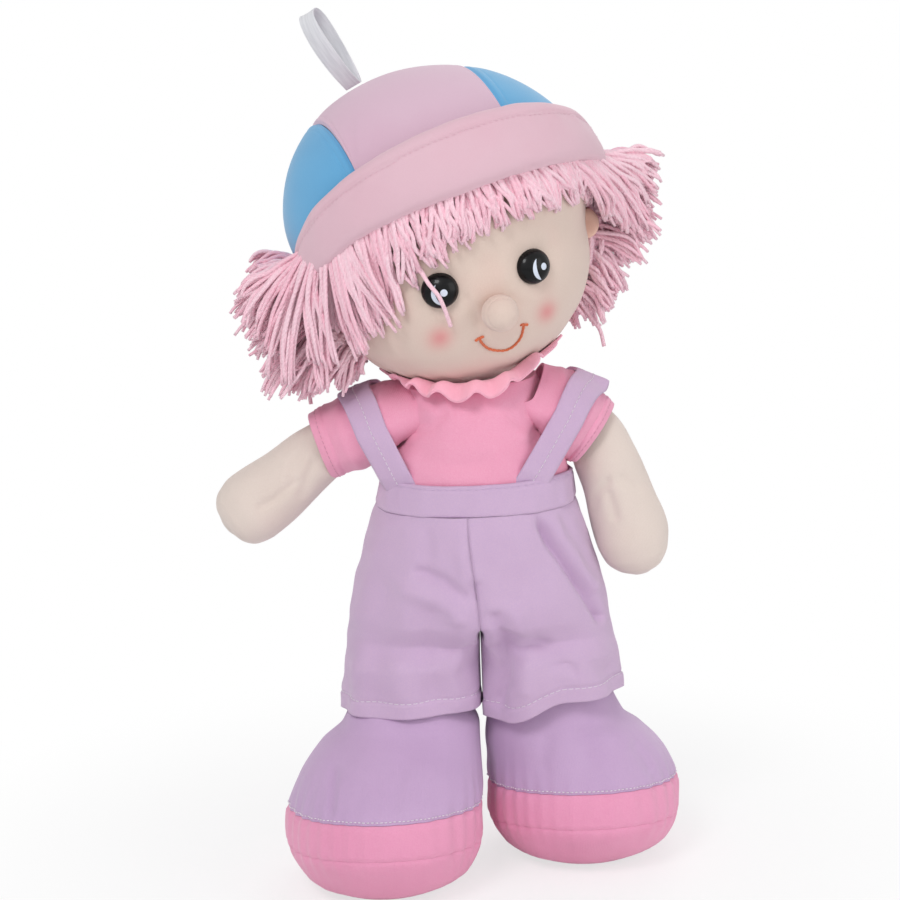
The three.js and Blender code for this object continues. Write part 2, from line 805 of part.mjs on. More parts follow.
// A flat path for a strap between two points of the front view, kept to one side of the shoulder's ridge
function strapPath(side, footOut, forward) {
  const foot = new THREE.Vector3(side.sign * footOut, 0, waistHeight);
  const top = new THREE.Vector3(side.sign * strapTopOut, 0, trunkTopHeight + seamGap);
  const length = top.distanceTo(foot) + 2 * overrun;
  const lean = Math.atan2(top.x - foot.x, top.z - foot.z);
  const depth = 2 * trunkFrontDepth;
  const middle = foot.clone().add(top).multiplyScalar(1 / 2);
  const turn = new THREE.Matrix4().makeRotationY(lean);
  const place = [middle.x, forward * (depth / 2 - strapLap), middle.z];
  return block([strapWidth, depth, length], place, turn);
}

function strap(side, dish) {
  const skin = shirtOuter(side, seamGap + strapThickness).subtract(shirtOuter(side, seamGap));
  const front = skin.intersect(strapPath(side, strapFootOut, -1));
  const rear = skin.intersect(strapPath(side, strapRearOut, 1));
  const below = layer(trunkBottomHeight, waistbandTopHeight + seamGap);
  const shoulder = shoulderPoint(side);
  const flank = block([4 * shoulderOut, 2 * strapSideDepth, 4 * overrun], [0, 0, shoulder.z - 2 * overrun]);
  return cutBy(joined(front, rear), below, flank, dish);
}

function dungareePieces(doll, dish) {
  addPiece(doll, 'waistband', waistband(), cloth(0xcdb2d1));
  for (const side of [right, left]) {
    addPiece(doll, `strap_${side.name}`, strap(side, dish), cloth(0xcba8cf));
    const outer = joined(seatForm(0), shortsLegForm(side, 0));
    const inner = joined(seatForm(-clothThickness), shortsLegForm(side, -clothThickness));
    const reach = 2 * seatHalfWidth;
    const half = block([reach, reach, 2 * reach], [side.sign * (reach + seamGap) / 2, 0, crotchHeight]);
    const leg = legForm(side, seamGap);
    addPiece(doll, `shorts_${side.name}`, cutBy(outer, inner, leg).intersect(half), cloth(0xcbb0d2));
  }
}

// Head

function eyePlace(side, depth) {
  const flat = 1 - (eyeSpread / headHalfWidth) ** 2 - (eyeDrop / headDrop) ** 2;
  const y = -headHalfDepth * Math.sqrt(flat);
  const normal = new THREE.Vector3(side.sign * eyeSpread / headHalfWidth ** 2, y / headHalfDepth ** 2, 0);
  normal.normalize();
  const surface = new THREE.Vector3(side.sign * eyeSpread, y, -eyeDrop);
  const turn = new THREE.Matrix4().makeRotationZ(Math.atan2(normal.x, -normal.y));
  const point = surface.addScaledVector(normal, -depth);
  return new THREE.Matrix4().makeTranslation(...point.toArray()).multiply(turn);
}

function eyePin(side, grow) {
  const radius = eyeStemRadius + grow;
  const pin = new THREE.CylinderGeometry(radius, radius, eyeStemLength, ballBandCount);
  return solidOf(pin.applyMatrix4(eyePlace(side, eyeStemLength / 2)));
}

function eyeWasher(side, grow) {
  const radius = eyeWasherRadius + grow;
  const disc = new THREE.CylinderGeometry(radius, radius, eyeWasherThickness + 2 * grow, ballCount);
  return solidOf(disc.applyMatrix4(eyePlace(side, eyeWasherDepth + eyeWasherThickness / 2)));
}

function eyeDome(side) {
  const dome = new THREE.SphereGeometry(1, limbCount, ballBandCount).scale(eyeHalfWidth, eyeDepth, eyeHalfHeight);
  return solidOf(dome.applyMatrix4(eyePlace(side, 0)));
}

function facePieces(head, skull) {
  for (const side of [right, left]) {
    addPiece(head, `eye_${side.name}`, joined(eyeDome(side).subtract(skull), eyePin(side, 0)), cloth(0x0b0b10, 0.1));
    const washer = eyeWasher(side, 0).subtract(eyePin(side, seamGap));
    addPiece(head, `eye_washer_${side.name}`, washer, cloth(0xf2f2f0, 0.5));
    const place = headPoint(side.sign * radians(earDegrees), earRise, 0);
    const ear = ellipsoid([earHalfReach, earHalfThickness, earHalfHeight], place.toArray());
    addPiece(head, `ear_${side.name}`, ear.subtract(skull), cloth(0xe0cbbb));
  }
  const flat = 1 - (noseShift / headHalfWidth) ** 2 - (noseDrop / headDrop) ** 2;
  const y = -headHalfDepth * Math.sqrt(flat) - noseRadius * noseProudShare;
  const nose = ball(noseRadius, [noseShift, y, -noseDrop]);
  addPiece(head, 'nose', nose.subtract(skull), cloth(0xe4d1c2));
}

function headPieces(head, skull) {
  const pocketRadius = neckTopRadius + 2 * neckThreadRadius + 2 * seamGap;
  const pocket = room(pocketRadius, [0, 0, -headRise]);
  const pins = joined(eyePin(right, seamGap), eyePin(left, seamGap));
  const washers = joined(eyeWasher(right, seamGap), eyeWasher(left, seamGap));
  const lining = solidOf(headForm(-skinThickness, liningCount));
  const cover = cutBy(solidOf(headForm(0)), lining, pocket, pins);
  const filling = cutBy(solidOf(headForm(-skinThickness - seamGap, liningCount)), pocket, pins, washers);
  addPiece(head, 'head_cover', cover, cloth(0xdcc6b6));
  addPiece(head, 'head_filling', filling, cloth(0xf4f2ee, 1));
  facePieces(head, skull);
}

// Hair: bands of locks that follow the head, and a tuft at each side

// A band round the head from one angle to another. Each section runs from the rim plane down to its own length.
function hairBand(startDegrees, endDegrees, lockCount, thickness, lowHeight) {
  const stepCount = lockCount * 2;
  const rings = Array.from({ length: stepCount + 1 }, (_, step) => {
    const share = step / stepCount;
    const angle = radians(THREE.MathUtils.lerp(startDegrees, endDegrees, share));
    const lock = step % 2 === 0 ? 1 - lockDepthShare : 1;
    const low = lowHeight(share, lock);
    const strand = (part, offset) => {
      const root = headPoint(angle, crownRise / 2, offset);
      const top = rimOver(root.x, root.y) - hairRootGap;
      return headPoint(angle, THREE.MathUtils.lerp(top, low, part.down), offset);
    };
    const outer = hairShares.map((part) => strand(part, thickness * part.thick * lock));
    const inner = hairShares.map((part) => strand(part, hairSeatGap));
    return [...inner.reverse(), ...outer];
  });
  return solidOf(loft(rings));
}

function fringe() {
  return hairBand(-fringeSpanDegrees, fringeSpanDegrees, fringeLockCount, fringeThickness, (share, lock) => {
    const angle = radians(THREE.MathUtils.lerp(-fringeSpanDegrees, fringeSpanDegrees, share));
    const root = headPoint(angle, crownRise, 0);
    const side = THREE.MathUtils.smoothstep(1 - share, 1 - fringeSideShare, 1);
    const length = THREE.MathUtils.lerp(fringeLength, fringeSideLength, side);
    return rimOver(root.x, root.y) - length * lock;
  });
}

function nape() {
  return hairBand(napeSpanDegrees, 360 - napeSpanDegrees, napeLockCount, napeThickness, (share, lock) => {
    const bulge = Math.sin(share * Math.PI) ** (1 / 2);
    return -napeDrop * THREE.MathUtils.lerp(napeEndShare, 1, bulge) * lock;
  });
}

function tuft(side) {
  const rings = tuftShares.map((share) => {
    const centre = new THREE.Vector3(side.sign * tuftReach * share.reach, tuftBack, tuftHalfHeight * share.rise);
    const fold = (angle) => 1 + tuftLockShare * Math.cos(tuftLockCount * angle);
    const width = tuftHalfHeight * share.height;
    const front = tuftHalfDepth * share.depth;
    return ring({ centre, across: axisZ, deep: axisY, width, front, fold }, clothCount);
  });
  const clear = napeThickness + tuftSeatGap;
  const capSide = turnedSolid(crownForm(brimTipThickness + 2 * seamGap), capTurn());
  return cutBy(solidOf(loft(rings)), solidOf(headForm(clear)), capSide);
}

function hairPieces(head) {
  const hair = 0xebbed0;
  addPiece(head, 'hair_fringe', fringe(), cloth(hair, 1));
  addPiece(head, 'hair_back', nape(), cloth(hair, 1));
  addPiece(head, 'hair_right', tuft(right), cloth(hair, 1));
  addPiece(head, 'hair_left', tuft(left), cloth(hair, 1));
}

// Cap: a crown of three padded panels, a turned up brim and a ribbon loop

function aboveRim() {
  const reach = 4 * crownHalfWidth;
  const box = new THREE.BoxGeometry(reach, reach, reach).translate(0, 0, reach / 2);
  box.rotateX(-radians(rimPitchDegrees)).rotateY(-radians(rimRollDegrees)).translate(0, 0, rimHeight);
  return solidOf(box);
}

function brim() {
  const rings = Array.from({ length: brimStepCount + 1 }, (_, step) => {
    const share = (2 * step) / brimStepCount - 1;
    const swell = Math.sqrt(Math.max(1 - share ** 2, 0));
    const angle = radians(brimCentreDegrees + share * brimSpanDegrees);
    const height = THREE.MathUtils.lerp(brimTipHeight, brimHeight, swell);
    const thickness = THREE.MathUtils.lerp(brimTipThickness, brimThickness, swell);
    const edge = new THREE.Vector2(crownHalfWidth * Math.sin(angle), -crownHalfDepth * Math.cos(angle));
    const rise = (rimAt(edge.x, edge.y) - crownRise) / crownHalfHeight;
    edge.multiplyScalar(Math.sqrt(1 - rise ** 2));
    const outward = new THREE.Vector2(Math.sin(angle), -Math.cos(angle));
    return brimSectionShares.map(([out, up]) => {
      const offset = thickness * out - brimLean * swell * up ** 2 - seamGap;
      const spot = edge.clone().addScaledVector(outward, offset);
      return new THREE.Vector3(spot.x, spot.y, rimAt(spot.x, spot.y) + height * up);
    });
  });
  return solidOf(loft(rings)).subtract(crownForm(seamGap));
}

// Height of the crown's top over a spot of the cap
function crownTop(x, y) {
  return crownRise + crownHalfHeight * Math.sqrt(1 - (x / crownHalfWidth) ** 2 - (y / crownHalfDepth) ** 2);
}

// A teardrop hoop of ribbon standing with its point on the crown
function hangLoop() {
  const outline = (inset) => Array.from({ length: loopStepCount }, (_, step) => {
    const angle = ((step + 1 / 2) / loopStepCount) * 2 * Math.PI;
    const bulge = (loopHalfBulge - inset) * Math.sin(angle) * Math.sin(angle / 2);
    const rise = (loopLength - 3 * inset) * (1 - Math.cos(angle)) / 2;
    return new THREE.Vector2(bulge, rise + 2 * inset);
  });
  const shape = new THREE.Shape(outline(0));
  shape.holes.push(new THREE.Path(outline(ribbonThickness)));
  const hoop = new THREE.ExtrudeGeometry(shape, { depth: ribbonWidth, bevelEnabled: false, steps: 1 });
  hoop.translate(0, 0, -ribbonWidth / 2).rotateX(Math.PI / 2).rotateZ(radians(90 + loopTurnDegrees));
  const foot = crownTop(loopAcross, loopBack) + loopSeatGap;
  hoop.rotateY(radians(loopLeanDegrees)).translate(loopAcross, loopBack, foot);
  return solidOf(hoop).subtract(crownForm(seamGap));
}

function capPieces(cap, skull) {
  const felt = crownForm(0).intersect(aboveRim()).subtract(skull);
  const reach = 2 * crownHalfWidth;
  const depth = 2 * (crownHalfDepth + crownHalfHeight);
  const panel = (low, high) => block([high - low, depth, depth], [(low + high) / 2, 0, crownRise]);
  const strip = panel(-stripHalfWidth, stripHalfWidth);
  addPiece(cap, 'crown_center', felt.intersect(strip), cloth(0xdcb6cb));
  addPiece(cap, 'crown_left', felt.intersect(panel(stripHalfWidth + seamGap, reach)), cloth(0x6fa9d3));
  addPiece(cap, 'crown_right', felt.intersect(panel(-reach, -stripHalfWidth - seamGap)), cloth(0x6fa9d3));
  addPiece(cap, 'cap_brim', brim(), cloth(0xe4bed0));
  addPiece(cap, 'hang_loop', hangLoop(), cloth(0xf1eff2, 0.45));
}

// Limbs

function armPieces(doll, side) {
  const socket = room(shoulderTabRadius + seamGap, shoulderPoint(side).toArray());
  addPiece(doll, `shoulder_tab_${side.name}`, shoulderTab(side, 0), cloth(0xdac7b9));
  const cover = cutBy(armForm(side, 0), armForm(side, -skinThickness, limbLiningCount), socket);
  const filling = armForm(side, -skinThickness - seamGap, limbLiningCount).subtract(socket);
  addPiece(doll, `arm_${side.name}_cover`, cover, cloth(0xdecfc6));
  addPiece(doll, `arm_${side.name}_filling`, filling, cloth(0xf4f2ee, 1));
}

function legPieces(doll, side) {
  const skin = legForm(side, 0).subtract(legForm(side, -skinThickness, limbLiningCount));
  const half = seamGap / 2;
  const upper = skin.intersect(layer(shoeSeamHeight + half, hipHeight));
  const band = skin.intersect(layer(soleSeamHeight + half, shoeSeamHeight - half));
  const sole = skin.intersect(layer(0, soleSeamHeight - half));
  addPiece(doll, `leg_${side.name}_cover`, upper, cloth(0xc3a3c6));
  addPiece(doll, `shoe_${side.name}_band`, band, cloth(0xec94ba));
  addPiece(doll, `shoe_${side.name}_sole`, sole, cloth(0xe88fb6));
  const filling = legForm(side, -skinThickness - seamGap, limbLiningCount);
  addPiece(doll, `leg_${side.name}_filling`, filling, cloth(0xf4f2ee, 1));
}

function buildDoll() {
  const doll = new THREE.Group();
  const head = new THREE.Group();
  const cap = new THREE.Group();
  const dish = headSweep();
  const skull = solidOf(headForm(seamGap));
  head.applyMatrix4(headMatrix());
  cap.applyMatrix4(capTurn());
  head.add(cap);
  doll.add(head);
  trunkPieces(doll, dish);
  neckPieces(doll);
  shirtPieces(doll, dish);
  addPiece(doll, 'collar_ruffle', collarRuffle(), cloth(0xea8fae));
  dungareePieces(doll, dish);
  headPieces(head, skull);
  hairPieces(head);
  capPieces(cap, turnedSolid(skull, capTurn().invert()));
  for (const side of [right, left]) {
    armPieces(doll, side);
    legPieces(doll, side);
  }
  return doll;
}

// The origin lies under the middle of the finished doll.
const doll = buildDoll();
const bounds = new THREE.Box3().setFromObject(doll, true);
const middle = bounds.getCenter(new THREE.Vector3());
doll.position.set(-middle.x, -middle.y, -bounds.min.z);

export default doll;
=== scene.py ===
"""Looks of a stuffed rag doll that stands on two padded shoes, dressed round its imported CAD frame.

Shapes are worked out in millimetres in the doll's own frame: X to the viewer's right, Y away from the viewer, Z up.
They are written into the meshes in metres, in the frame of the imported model. Right and left are the doll's own.
"""

from __future__ import annotations

import logging
from collections.abc import Callable
from dataclasses import dataclass, field, replace
from enum import Enum, IntEnum

import bpy
import numpy as np
from mathutils import Matrix


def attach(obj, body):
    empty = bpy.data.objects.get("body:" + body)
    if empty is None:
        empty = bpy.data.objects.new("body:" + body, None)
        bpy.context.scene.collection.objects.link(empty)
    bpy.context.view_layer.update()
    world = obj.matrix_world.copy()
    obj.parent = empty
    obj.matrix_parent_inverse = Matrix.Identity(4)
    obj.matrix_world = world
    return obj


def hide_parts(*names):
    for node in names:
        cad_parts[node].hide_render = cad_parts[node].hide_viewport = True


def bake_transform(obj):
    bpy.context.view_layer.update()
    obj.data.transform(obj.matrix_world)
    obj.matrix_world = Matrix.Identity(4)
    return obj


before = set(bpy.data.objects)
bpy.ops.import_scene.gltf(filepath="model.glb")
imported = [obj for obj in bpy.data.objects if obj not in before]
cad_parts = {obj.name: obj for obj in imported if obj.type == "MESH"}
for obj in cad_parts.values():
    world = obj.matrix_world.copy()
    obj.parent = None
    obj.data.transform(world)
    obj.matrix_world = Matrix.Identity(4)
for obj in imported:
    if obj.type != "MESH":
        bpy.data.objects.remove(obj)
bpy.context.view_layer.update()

Array = np.ndarray
LOG = logging.getLogger("rag_doll")

# From the doll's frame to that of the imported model.
MILLIMETRE = 0.001
FRAME_SHIFT = np.array([12.7732, -1.5, 0.0])
# Centres of the two balls that the neck turns about: the lower one in the trunk, the upper one in the head.
NECK_BASE = np.array([5.4, 0.0, 240.0])
NECK_TOP = np.array([5.4, 0.0, 251.2])
# The head's frame: its height over the upper ball, its lean and its turn, and the cap's turn on the head, in degrees.
HEAD_RISE = 51.0
HEAD_ROLL = -12.3
HEAD_YAW = 13.0
CAP_YAW = -7.3
BACKWARD = np.array([0.0, 1.0, 0.0])

# Two numbers, three numbers, and a row of a table.
Pair = tuple[float, float]
Triple = tuple[float, float, float]
Row = tuple[float, ...]


class Side(Enum):
    """One of the doll's own sides, with the sign of its X."""

    RIGHT = -1
    LEFT = 1

    @property
    def word(self) -> str:
        """Name of the side as the nodes spell it."""
        return self.name.lower()


class Axis(Enum):
    """Axis that a rotation turns about."""

    X = 0
    Y = 1
    Z = 2


class Seed(IntEnum):
    """Seeds of the random draws; a piece with a twin on the other side adds that side's sign."""

    SLEEVE = 5
    SHIRT = 11
    WAISTBAND = 21
    SHORTS = 31
    SHORTS_FINE = 37
    ARM = 41
    SHOE = 51
    HEAD = 61
    TUFT_RIGHT = 71
    TUFT_LEFT = 73
    FRINGE = 81
    NAPE = 83
    BRIM = 97
    CROWN = 165


# Plain mathematics


def rotation(axis: Axis, degrees: float) -> Array:
    """Right-handed rotation about one axis.

    Args:
        axis: The axis to turn about.
        degrees: How far to turn.

    Returns:
        A 3 by 3 matrix that turns column vectors.
    """
    cosine, sine = np.cos(np.radians(degrees)), np.sin(np.radians(degrees))
    first, second = [(1, 2), (2, 0), (0, 1)][axis.value]
    matrix = np.eye(3)
    matrix[first, first] = matrix[second, second] = cosine
    matrix[first, second] = -sine
    matrix[second, first] = sine
    return matrix


def from_head(points: Array) -> Array:
    """Doll-frame points of points in the head's frame: turned by the yaw, raised, rolled and put on the neck."""
    risen = points @ rotation(Axis.Z, HEAD_YAW).T + np.array([0.0, 0.0, HEAD_RISE])
    return risen @ rotation(Axis.Y, HEAD_ROLL).T + NECK_TOP


def to_head(points: Array) -> Array:
    """Head-frame points of points in the doll's frame, the inverse of from_head."""
    level = (points - NECK_TOP) @ rotation(Axis.Y, HEAD_ROLL) - np.array([0.0, 0.0, HEAD_RISE])
    return level @ rotation(Axis.Z, HEAD_YAW)


def cap_to_head(points: Array) -> Array:
    """Head-frame points of points in the cap's frame, which is turned about the head's upright axis."""
    return points @ rotation(Axis.Z, CAP_YAW).T


def from_cap(points: Array) -> Array:
    """Doll-frame points of points in the cap's frame."""
    return from_head(cap_to_head(points))


def metres(point: Array) -> Triple:
    """Row-frame metres of a doll-frame point."""
    x, y, z = (np.asarray(point, float) + FRAME_SHIFT) * MILLIMETRE
    return float(x), float(y), float(z)


def smoothstep(low: float, high: float, value: Array) -> Array:
    """0 before low, 1 after high and 3t^2 - 2t^3 between them."""
    share = np.clip((value - low) / (high - low), 0.0, 1.0)
    return share * share * (3.0 - 2.0 * share)


def mix(first: Array | float, second: Array | float, share: Array | float) -> Array:
    """Straight-line blend from first to second."""
    return first + (second - first) * share


def table(knots: Row, values: Row, at: Array) -> Array:
    """Monotone cubic through a table of knots, with harmonic-mean slopes, so that it never overshoots.

    Args:
        knots: Places of the table's rows.
        values: Value at each knot.
        at: Places to read.

    Returns:
        The curve's value at each place.
    """
    order = np.argsort(knots)
    x, y = np.asarray(knots, float)[order], np.asarray(values, float)[order]
    step = np.diff(x)
    slope = np.diff(y) / step
    before, after = slope[:-1], slope[1:]
    same = before * after > 0
    inner = np.where(same, 2 * before * after / np.where(same, before + after, 1.0), 0.0)
    tangent = np.concatenate([slope[:1], inner, slope[-1:]])
    index = np.clip(np.searchsorted(x, at, side="right") - 1, 0, len(step) - 1)
    share = np.clip((at - x[index]) / step[index], 0.0, 1.0)
    square, cube = share**2, share**3
    start = (2 * cube - 3 * square + 1) * y[index] + (cube - 2 * square + share) * step[index] * tangent[index]
    return start + (3 * square - 2 * cube) * y[index + 1] + (cube - square) * step[index] * tangent[index + 1]


def fuller(value: Array, power: float) -> Array:
    """A cosine or sine drawn towards a square section as the power rises from 2."""
    return np.sign(value) * np.abs(value) ** (2.0 / power)


def unit(vectors: Array) -> Array:
    """Vectors of length one along the last axis."""
    return vectors / np.maximum(np.linalg.norm(vectors, axis=-1, keepdims=True), 1e-9)


def bell(distance: Array, width: float) -> Array:
    """Bell curve of a distance: exp(-(distance / width)^2)."""
    return np.exp(-((distance / width) ** 2))


def stacked(*parts: Array | float) -> Array:
    """Coordinates side by side on a new last axis, each spread to the shape of them all."""
    return np.stack(np.broadcast_arrays(*parts), axis=-1)


def turns(count: int) -> Array:
    """Angles of a full turn in even steps, in radians."""
    return np.arange(count) / count * 2 * np.pi


def closed(row: Array) -> Array:
    """A row with its first place again at its end."""
    return np.concatenate([row, row[:1]])


def ripple(points: Array, wavelength: float, seed: int, waves: int = 7) -> Array:
    """Seeded smooth unevenness from -1 to 1: the mean of plane sine waves in random directions.

    Args:
        points: Places, with three coordinates on the last axis.
        wavelength: Length of the waves in millimetres.
        seed: Seed of the directions and phases.
        waves: How many waves are summed.

    Returns:
        One value per point.
    """
    random = np.random.default_rng(seed)
    ways = unit(random.normal(size=(waves, 3))) * (2 * np.pi / wavelength) * random.uniform(0.7, 1.5, (waves, 1))
    phase = random.uniform(0, 2 * np.pi, waves)
    return np.sin(points @ ways.T + phase).mean(-1) * 1.6


def from_path(spots: Array, path: tuple[Pair, ...]) -> Array:
    """Distance of flat spots from a polyline: the least distance to any of its segments."""
    corners = np.asarray(path, float)
    start, run = corners[:-1], np.diff(corners, axis=0)
    offset = spots[..., None, :] - start
    share = np.clip((offset * run).sum(-1) / (run**2).sum(-1), 0.0, 1.0)
    return np.linalg.norm(offset - share[..., None] * run, axis=-1).min(-1)


@dataclass(frozen=True)
class Fold:
    """A soft groove or ridge along a polyline in the front view, on the front or on the back."""

    path: tuple[Pair, ...]
    width: float
    depth: float
    front: bool = True

    def lift(self, points: Array) -> Array:
        """Displacement at doll-frame points: minus the depth times a bell curve of the distance from the path."""
        facing = smoothstep(4.0, 14.0, -points[..., 1] if self.front else points[..., 1])
        return -self.depth * bell(from_path(points[..., [0, 2]], self.path), self.width) * facing


def folded(points: Array, folds: tuple[Fold, ...]) -> Array:
    """Sum of the displacements of several folds."""
    return sum((fold.lift(points) for fold in folds), np.zeros(points.shape[:-1]))


# Surfaces


@dataclass
class Surface:
    """A mesh still in arrays. A face's fourth corner is -1 where it is a triangle."""

    points: Array
    faces: Array
    uv: Array
    flat: Array
    finish: Array
    tint: Array

    def finished(self, index: int) -> Surface:
        """The same surface with every face in one material slot."""
        return replace(self, finish=np.full(len(self.faces), index))

    def moved(self, place: Callable[[Array], Array]) -> Surface:
        """The same surface with its points passed through a function."""
        return replace(self, points=place(self.points))

    def volume(self) -> float:
        """Signed volume: a sixth of the sum of a . (b x c) over the triangles."""
        a, b, c = (self.points[self.faces[:, corner]] for corner in (0, 1, 2))
        d = self.points[self.faces[:, 3]]
        whole = (a * np.cross(b, c)).sum()
        return float(whole + (a * np.cross(c, d))[self.faces[:, 3] >= 0].sum()) / 6

    def outward(self) -> Surface:
        """The same surface with its faces pointing out of the volume that it closes."""
        if self.volume() >= 0:
            return self
        order = np.where(self.faces[:, 3:] >= 0, [[3, 2, 1, 0]], [[2, 1, 0, 3]])
        faces = np.take_along_axis(self.faces, order, 1)
        return replace(self, faces=faces, uv=np.take_along_axis(self.uv, order[..., None], 1))


def surface_of(points: Array, faces: Array, uv: Array, flat: Array | None = None) -> Surface:
    """A surface with plain finish, tint and shading, and without points that no face uses."""
    used = np.unique(faces[faces >= 0])
    renumber = np.full(len(points) + 1, -1)
    renumber[used] = np.arange(len(used))
    shading = np.zeros(len(faces), bool) if flat is None else flat
    tint = np.zeros(len(used))
    return Surface(points[used], renumber[faces], uv, shading, np.zeros(len(faces), int), tint)


def merged(*surfaces: Surface) -> Surface:
    """Several surfaces as one."""
    starts = np.cumsum([0] + [len(surface.points) for surface in surfaces])
    faces = [np.where(s.faces >= 0, s.faces + start, -1) for s, start in zip(surfaces, starts)]
    rest = [np.concatenate([getattr(s, name) for s in surfaces]) for name in ("uv", "flat", "finish", "tint")]
    return Surface(np.concatenate([s.points for s in surfaces]), np.concatenate(faces), *rest)


def grid_uv(points: Array, around: bool) -> Array:
    """Flat cloth coordinates in centimetres at each grid point: mean distance across and mean distance along."""
    wrapped = np.concatenate([points, points[:, :1]], axis=1) if around else points
    across = np.linalg.norm(np.diff(wrapped, axis=1), axis=-1).mean(0)
    along = np.linalg.norm(np.diff(points, axis=0), axis=-1).mean(1)
    u = np.concatenate([[0], np.cumsum(across)]) / 10
    v = np.concatenate([[0], np.cumsum(along)]) / 10
    return np.stack(np.meshgrid(u, v), axis=-1)


def grid_cells(rows: int, columns: int, around: bool) -> tuple[Array, Array, Array, Array]:
    """Point numbers at the four corners of each cell of a grid."""
    number = np.arange(rows * columns).reshape(rows, columns)
    following = np.roll(number, -1, axis=1) if around else number[:, 1:]
    here = number if around else number[:, :-1]
    return here[:-1], following[:-1], following[1:], here[1:]


def corner_uv(uv: Array) -> Array:
    """Cloth coordinates of the four corners of each cell, from those of the grid's lines."""
    return np.stack([uv[..., :-1, :-1, :], uv[..., :-1, 1:, :], uv[..., 1:, 1:, :], uv[..., 1:, :-1, :]], axis=-2)


def fan_uv(line: Array, corners: tuple[int, ...]) -> Array:
    """Cloth coordinates of a fan's faces: corner 0 is a face's first place on the line, corner 1 the one after."""
    last = line.shape[-2] - 1
    return np.stack([line[..., corner : last + corner, :] for corner in corners], axis=-2)


def tube_faces(rows: int, columns: int) -> Array:
    """Faces of a tube of rings, with a fan at each end round a point that is numbered after all rings."""
    column, last, tip = np.arange(columns), (rows - 1) * columns, rows * columns
    following = (column + 1) % columns
    low = stacked(tip, following, column, -1)
    high = stacked(tip + 1, last + column, last + following, -1)
    return np.concatenate([stacked(*grid_cells(rows, columns, True)).reshape(-1, 4), low, high])


def skin(rings: Array) -> Surface:
    """A closed form between rings, each closed by a fan of triangles at both ends.

    Args:
        rings: Points, rings by points round each ring by three.

    Returns:
        The closed surface, its faces outwards.
    """
    uv = grid_uv(rings, True)
    points = np.concatenate([rings.reshape(-1, 3), rings[:1].mean(1), rings[-1:].mean(1)])
    ends = fan_uv(uv[0], (0, 1, 0, 0)), fan_uv(uv[-1], (0, 0, 1, 0))
    return surface_of(
        points, tube_faces(*rings.shape[:2]), np.concatenate([corner_uv(uv).reshape(-1, 4, 2), *ends])
    ).outward()


def grid_normals(points: Array, around: bool, outward: Array | None = None) -> Array:
    """Unit normals of a grid: the cross product of its two gradients, on the side of outward.

    Args:
        points: Grid of points.
        around: Whether each row closes on itself.
        outward: Direction to point along, or None for away from the middle of each row.

    Returns:
        One normal per grid point.
    """
    if around:
        padded = np.concatenate([points[:, -1:], points, points[:, :1]], axis=1)
        across = (padded[:, 2:] - padded[:, :-2]) / 2
    else:
        across = np.gradient(points, axis=1)
    normal = unit(np.cross(across, np.gradient(points, axis=0)))
    away = points - points.mean(axis=1, keepdims=True) if outward is None else outward
    return normal * np.sign((normal * away).sum())


def raised(rings: Array, lift: Array) -> Array:
    """Closed rings moved out along their normals."""
    return rings + grid_normals(rings, True) * lift[..., None]


def shell(
    points: Array,
    thickness: float,
    around: bool = True,
    kept: Array | None = None,
    outward: Array | None = None,
) -> Surface:
    """A sheet with a real thickness: the grid, the grid moved in by the thickness, and a rim round each open edge.

    Args:
        points: Grid of the outer face.
        thickness: Distance from the outer face to the inner one, along the normals.
        around: Whether each row closes on itself.
        kept: Which cells of the grid are cloth, or None for all.
        outward: Direction of the outer face, or None for away from the middle of each row.

    Returns:
        The closed surface, its faces outwards.
    """
    inner = points - grid_normals(points, around, outward) * thickness
    a, b, c, d = grid_cells(*points.shape[:2], around)
    cells = np.ones(a.shape, bool) if kept is None else kept
    back = points.shape[0] * points.shape[1]
    above, below = np.pad(cells, ((1, 0), (0, 0)))[:-1], np.pad(cells, ((0, 1), (0, 0)))[1:]
    if around:
        left, right = np.roll(cells, 1, axis=1), np.roll(cells, -1, axis=1)
    else:
        left, right = np.pad(cells, ((0, 0), (1, 0)))[:, :-1], np.pad(cells, ((0, 0), (0, 1)))[:, 1:]
    corners_uv = corner_uv(grid_uv(points, around))
    front, front_uv = stacked(a, b, c, d)[cells], corners_uv[cells]
    faces, face_uv = [front, front[:, ::-1] + back], [front_uv, front_uv[:, ::-1]]
    for start, end, other, first, second in (
        (a, b, above, 0, 1),
        (b, c, right, 1, 2),
        (c, d, below, 2, 3),
        (d, a, left, 3, 0),
    ):
        edge = cells & ~other
        one, two = start[edge], end[edge]
        faces.append(stacked(two, one, one + back, two + back))
        face_uv.append(corners_uv[edge][:, [second, first, first, second]])
    flat = np.arange(sum(map(len, faces))) >= 2 * len(front)
    every = np.concatenate([points.reshape(-1, 3), inner.reshape(-1, 3)])
    return surface_of(every, np.concatenate(faces), np.concatenate(face_uv), flat).outward()


def bezier(controls: Array, steps: int) -> Array:
    """Cubic Bezier curves, many at once.

    Args:
        controls: Curves by four control points by three.
        steps: Points along each curve.

    Returns:
        Curves by steps by three.
    """
    t = np.linspace(0, 1, steps)[:, None]
    weights = [(1 - t) ** 3, 3 * t * (1 - t) ** 2, 3 * t**2 * (1 - t), t**3]
    return sum(weight * controls[:, None, index] for index, weight in enumerate(weights))


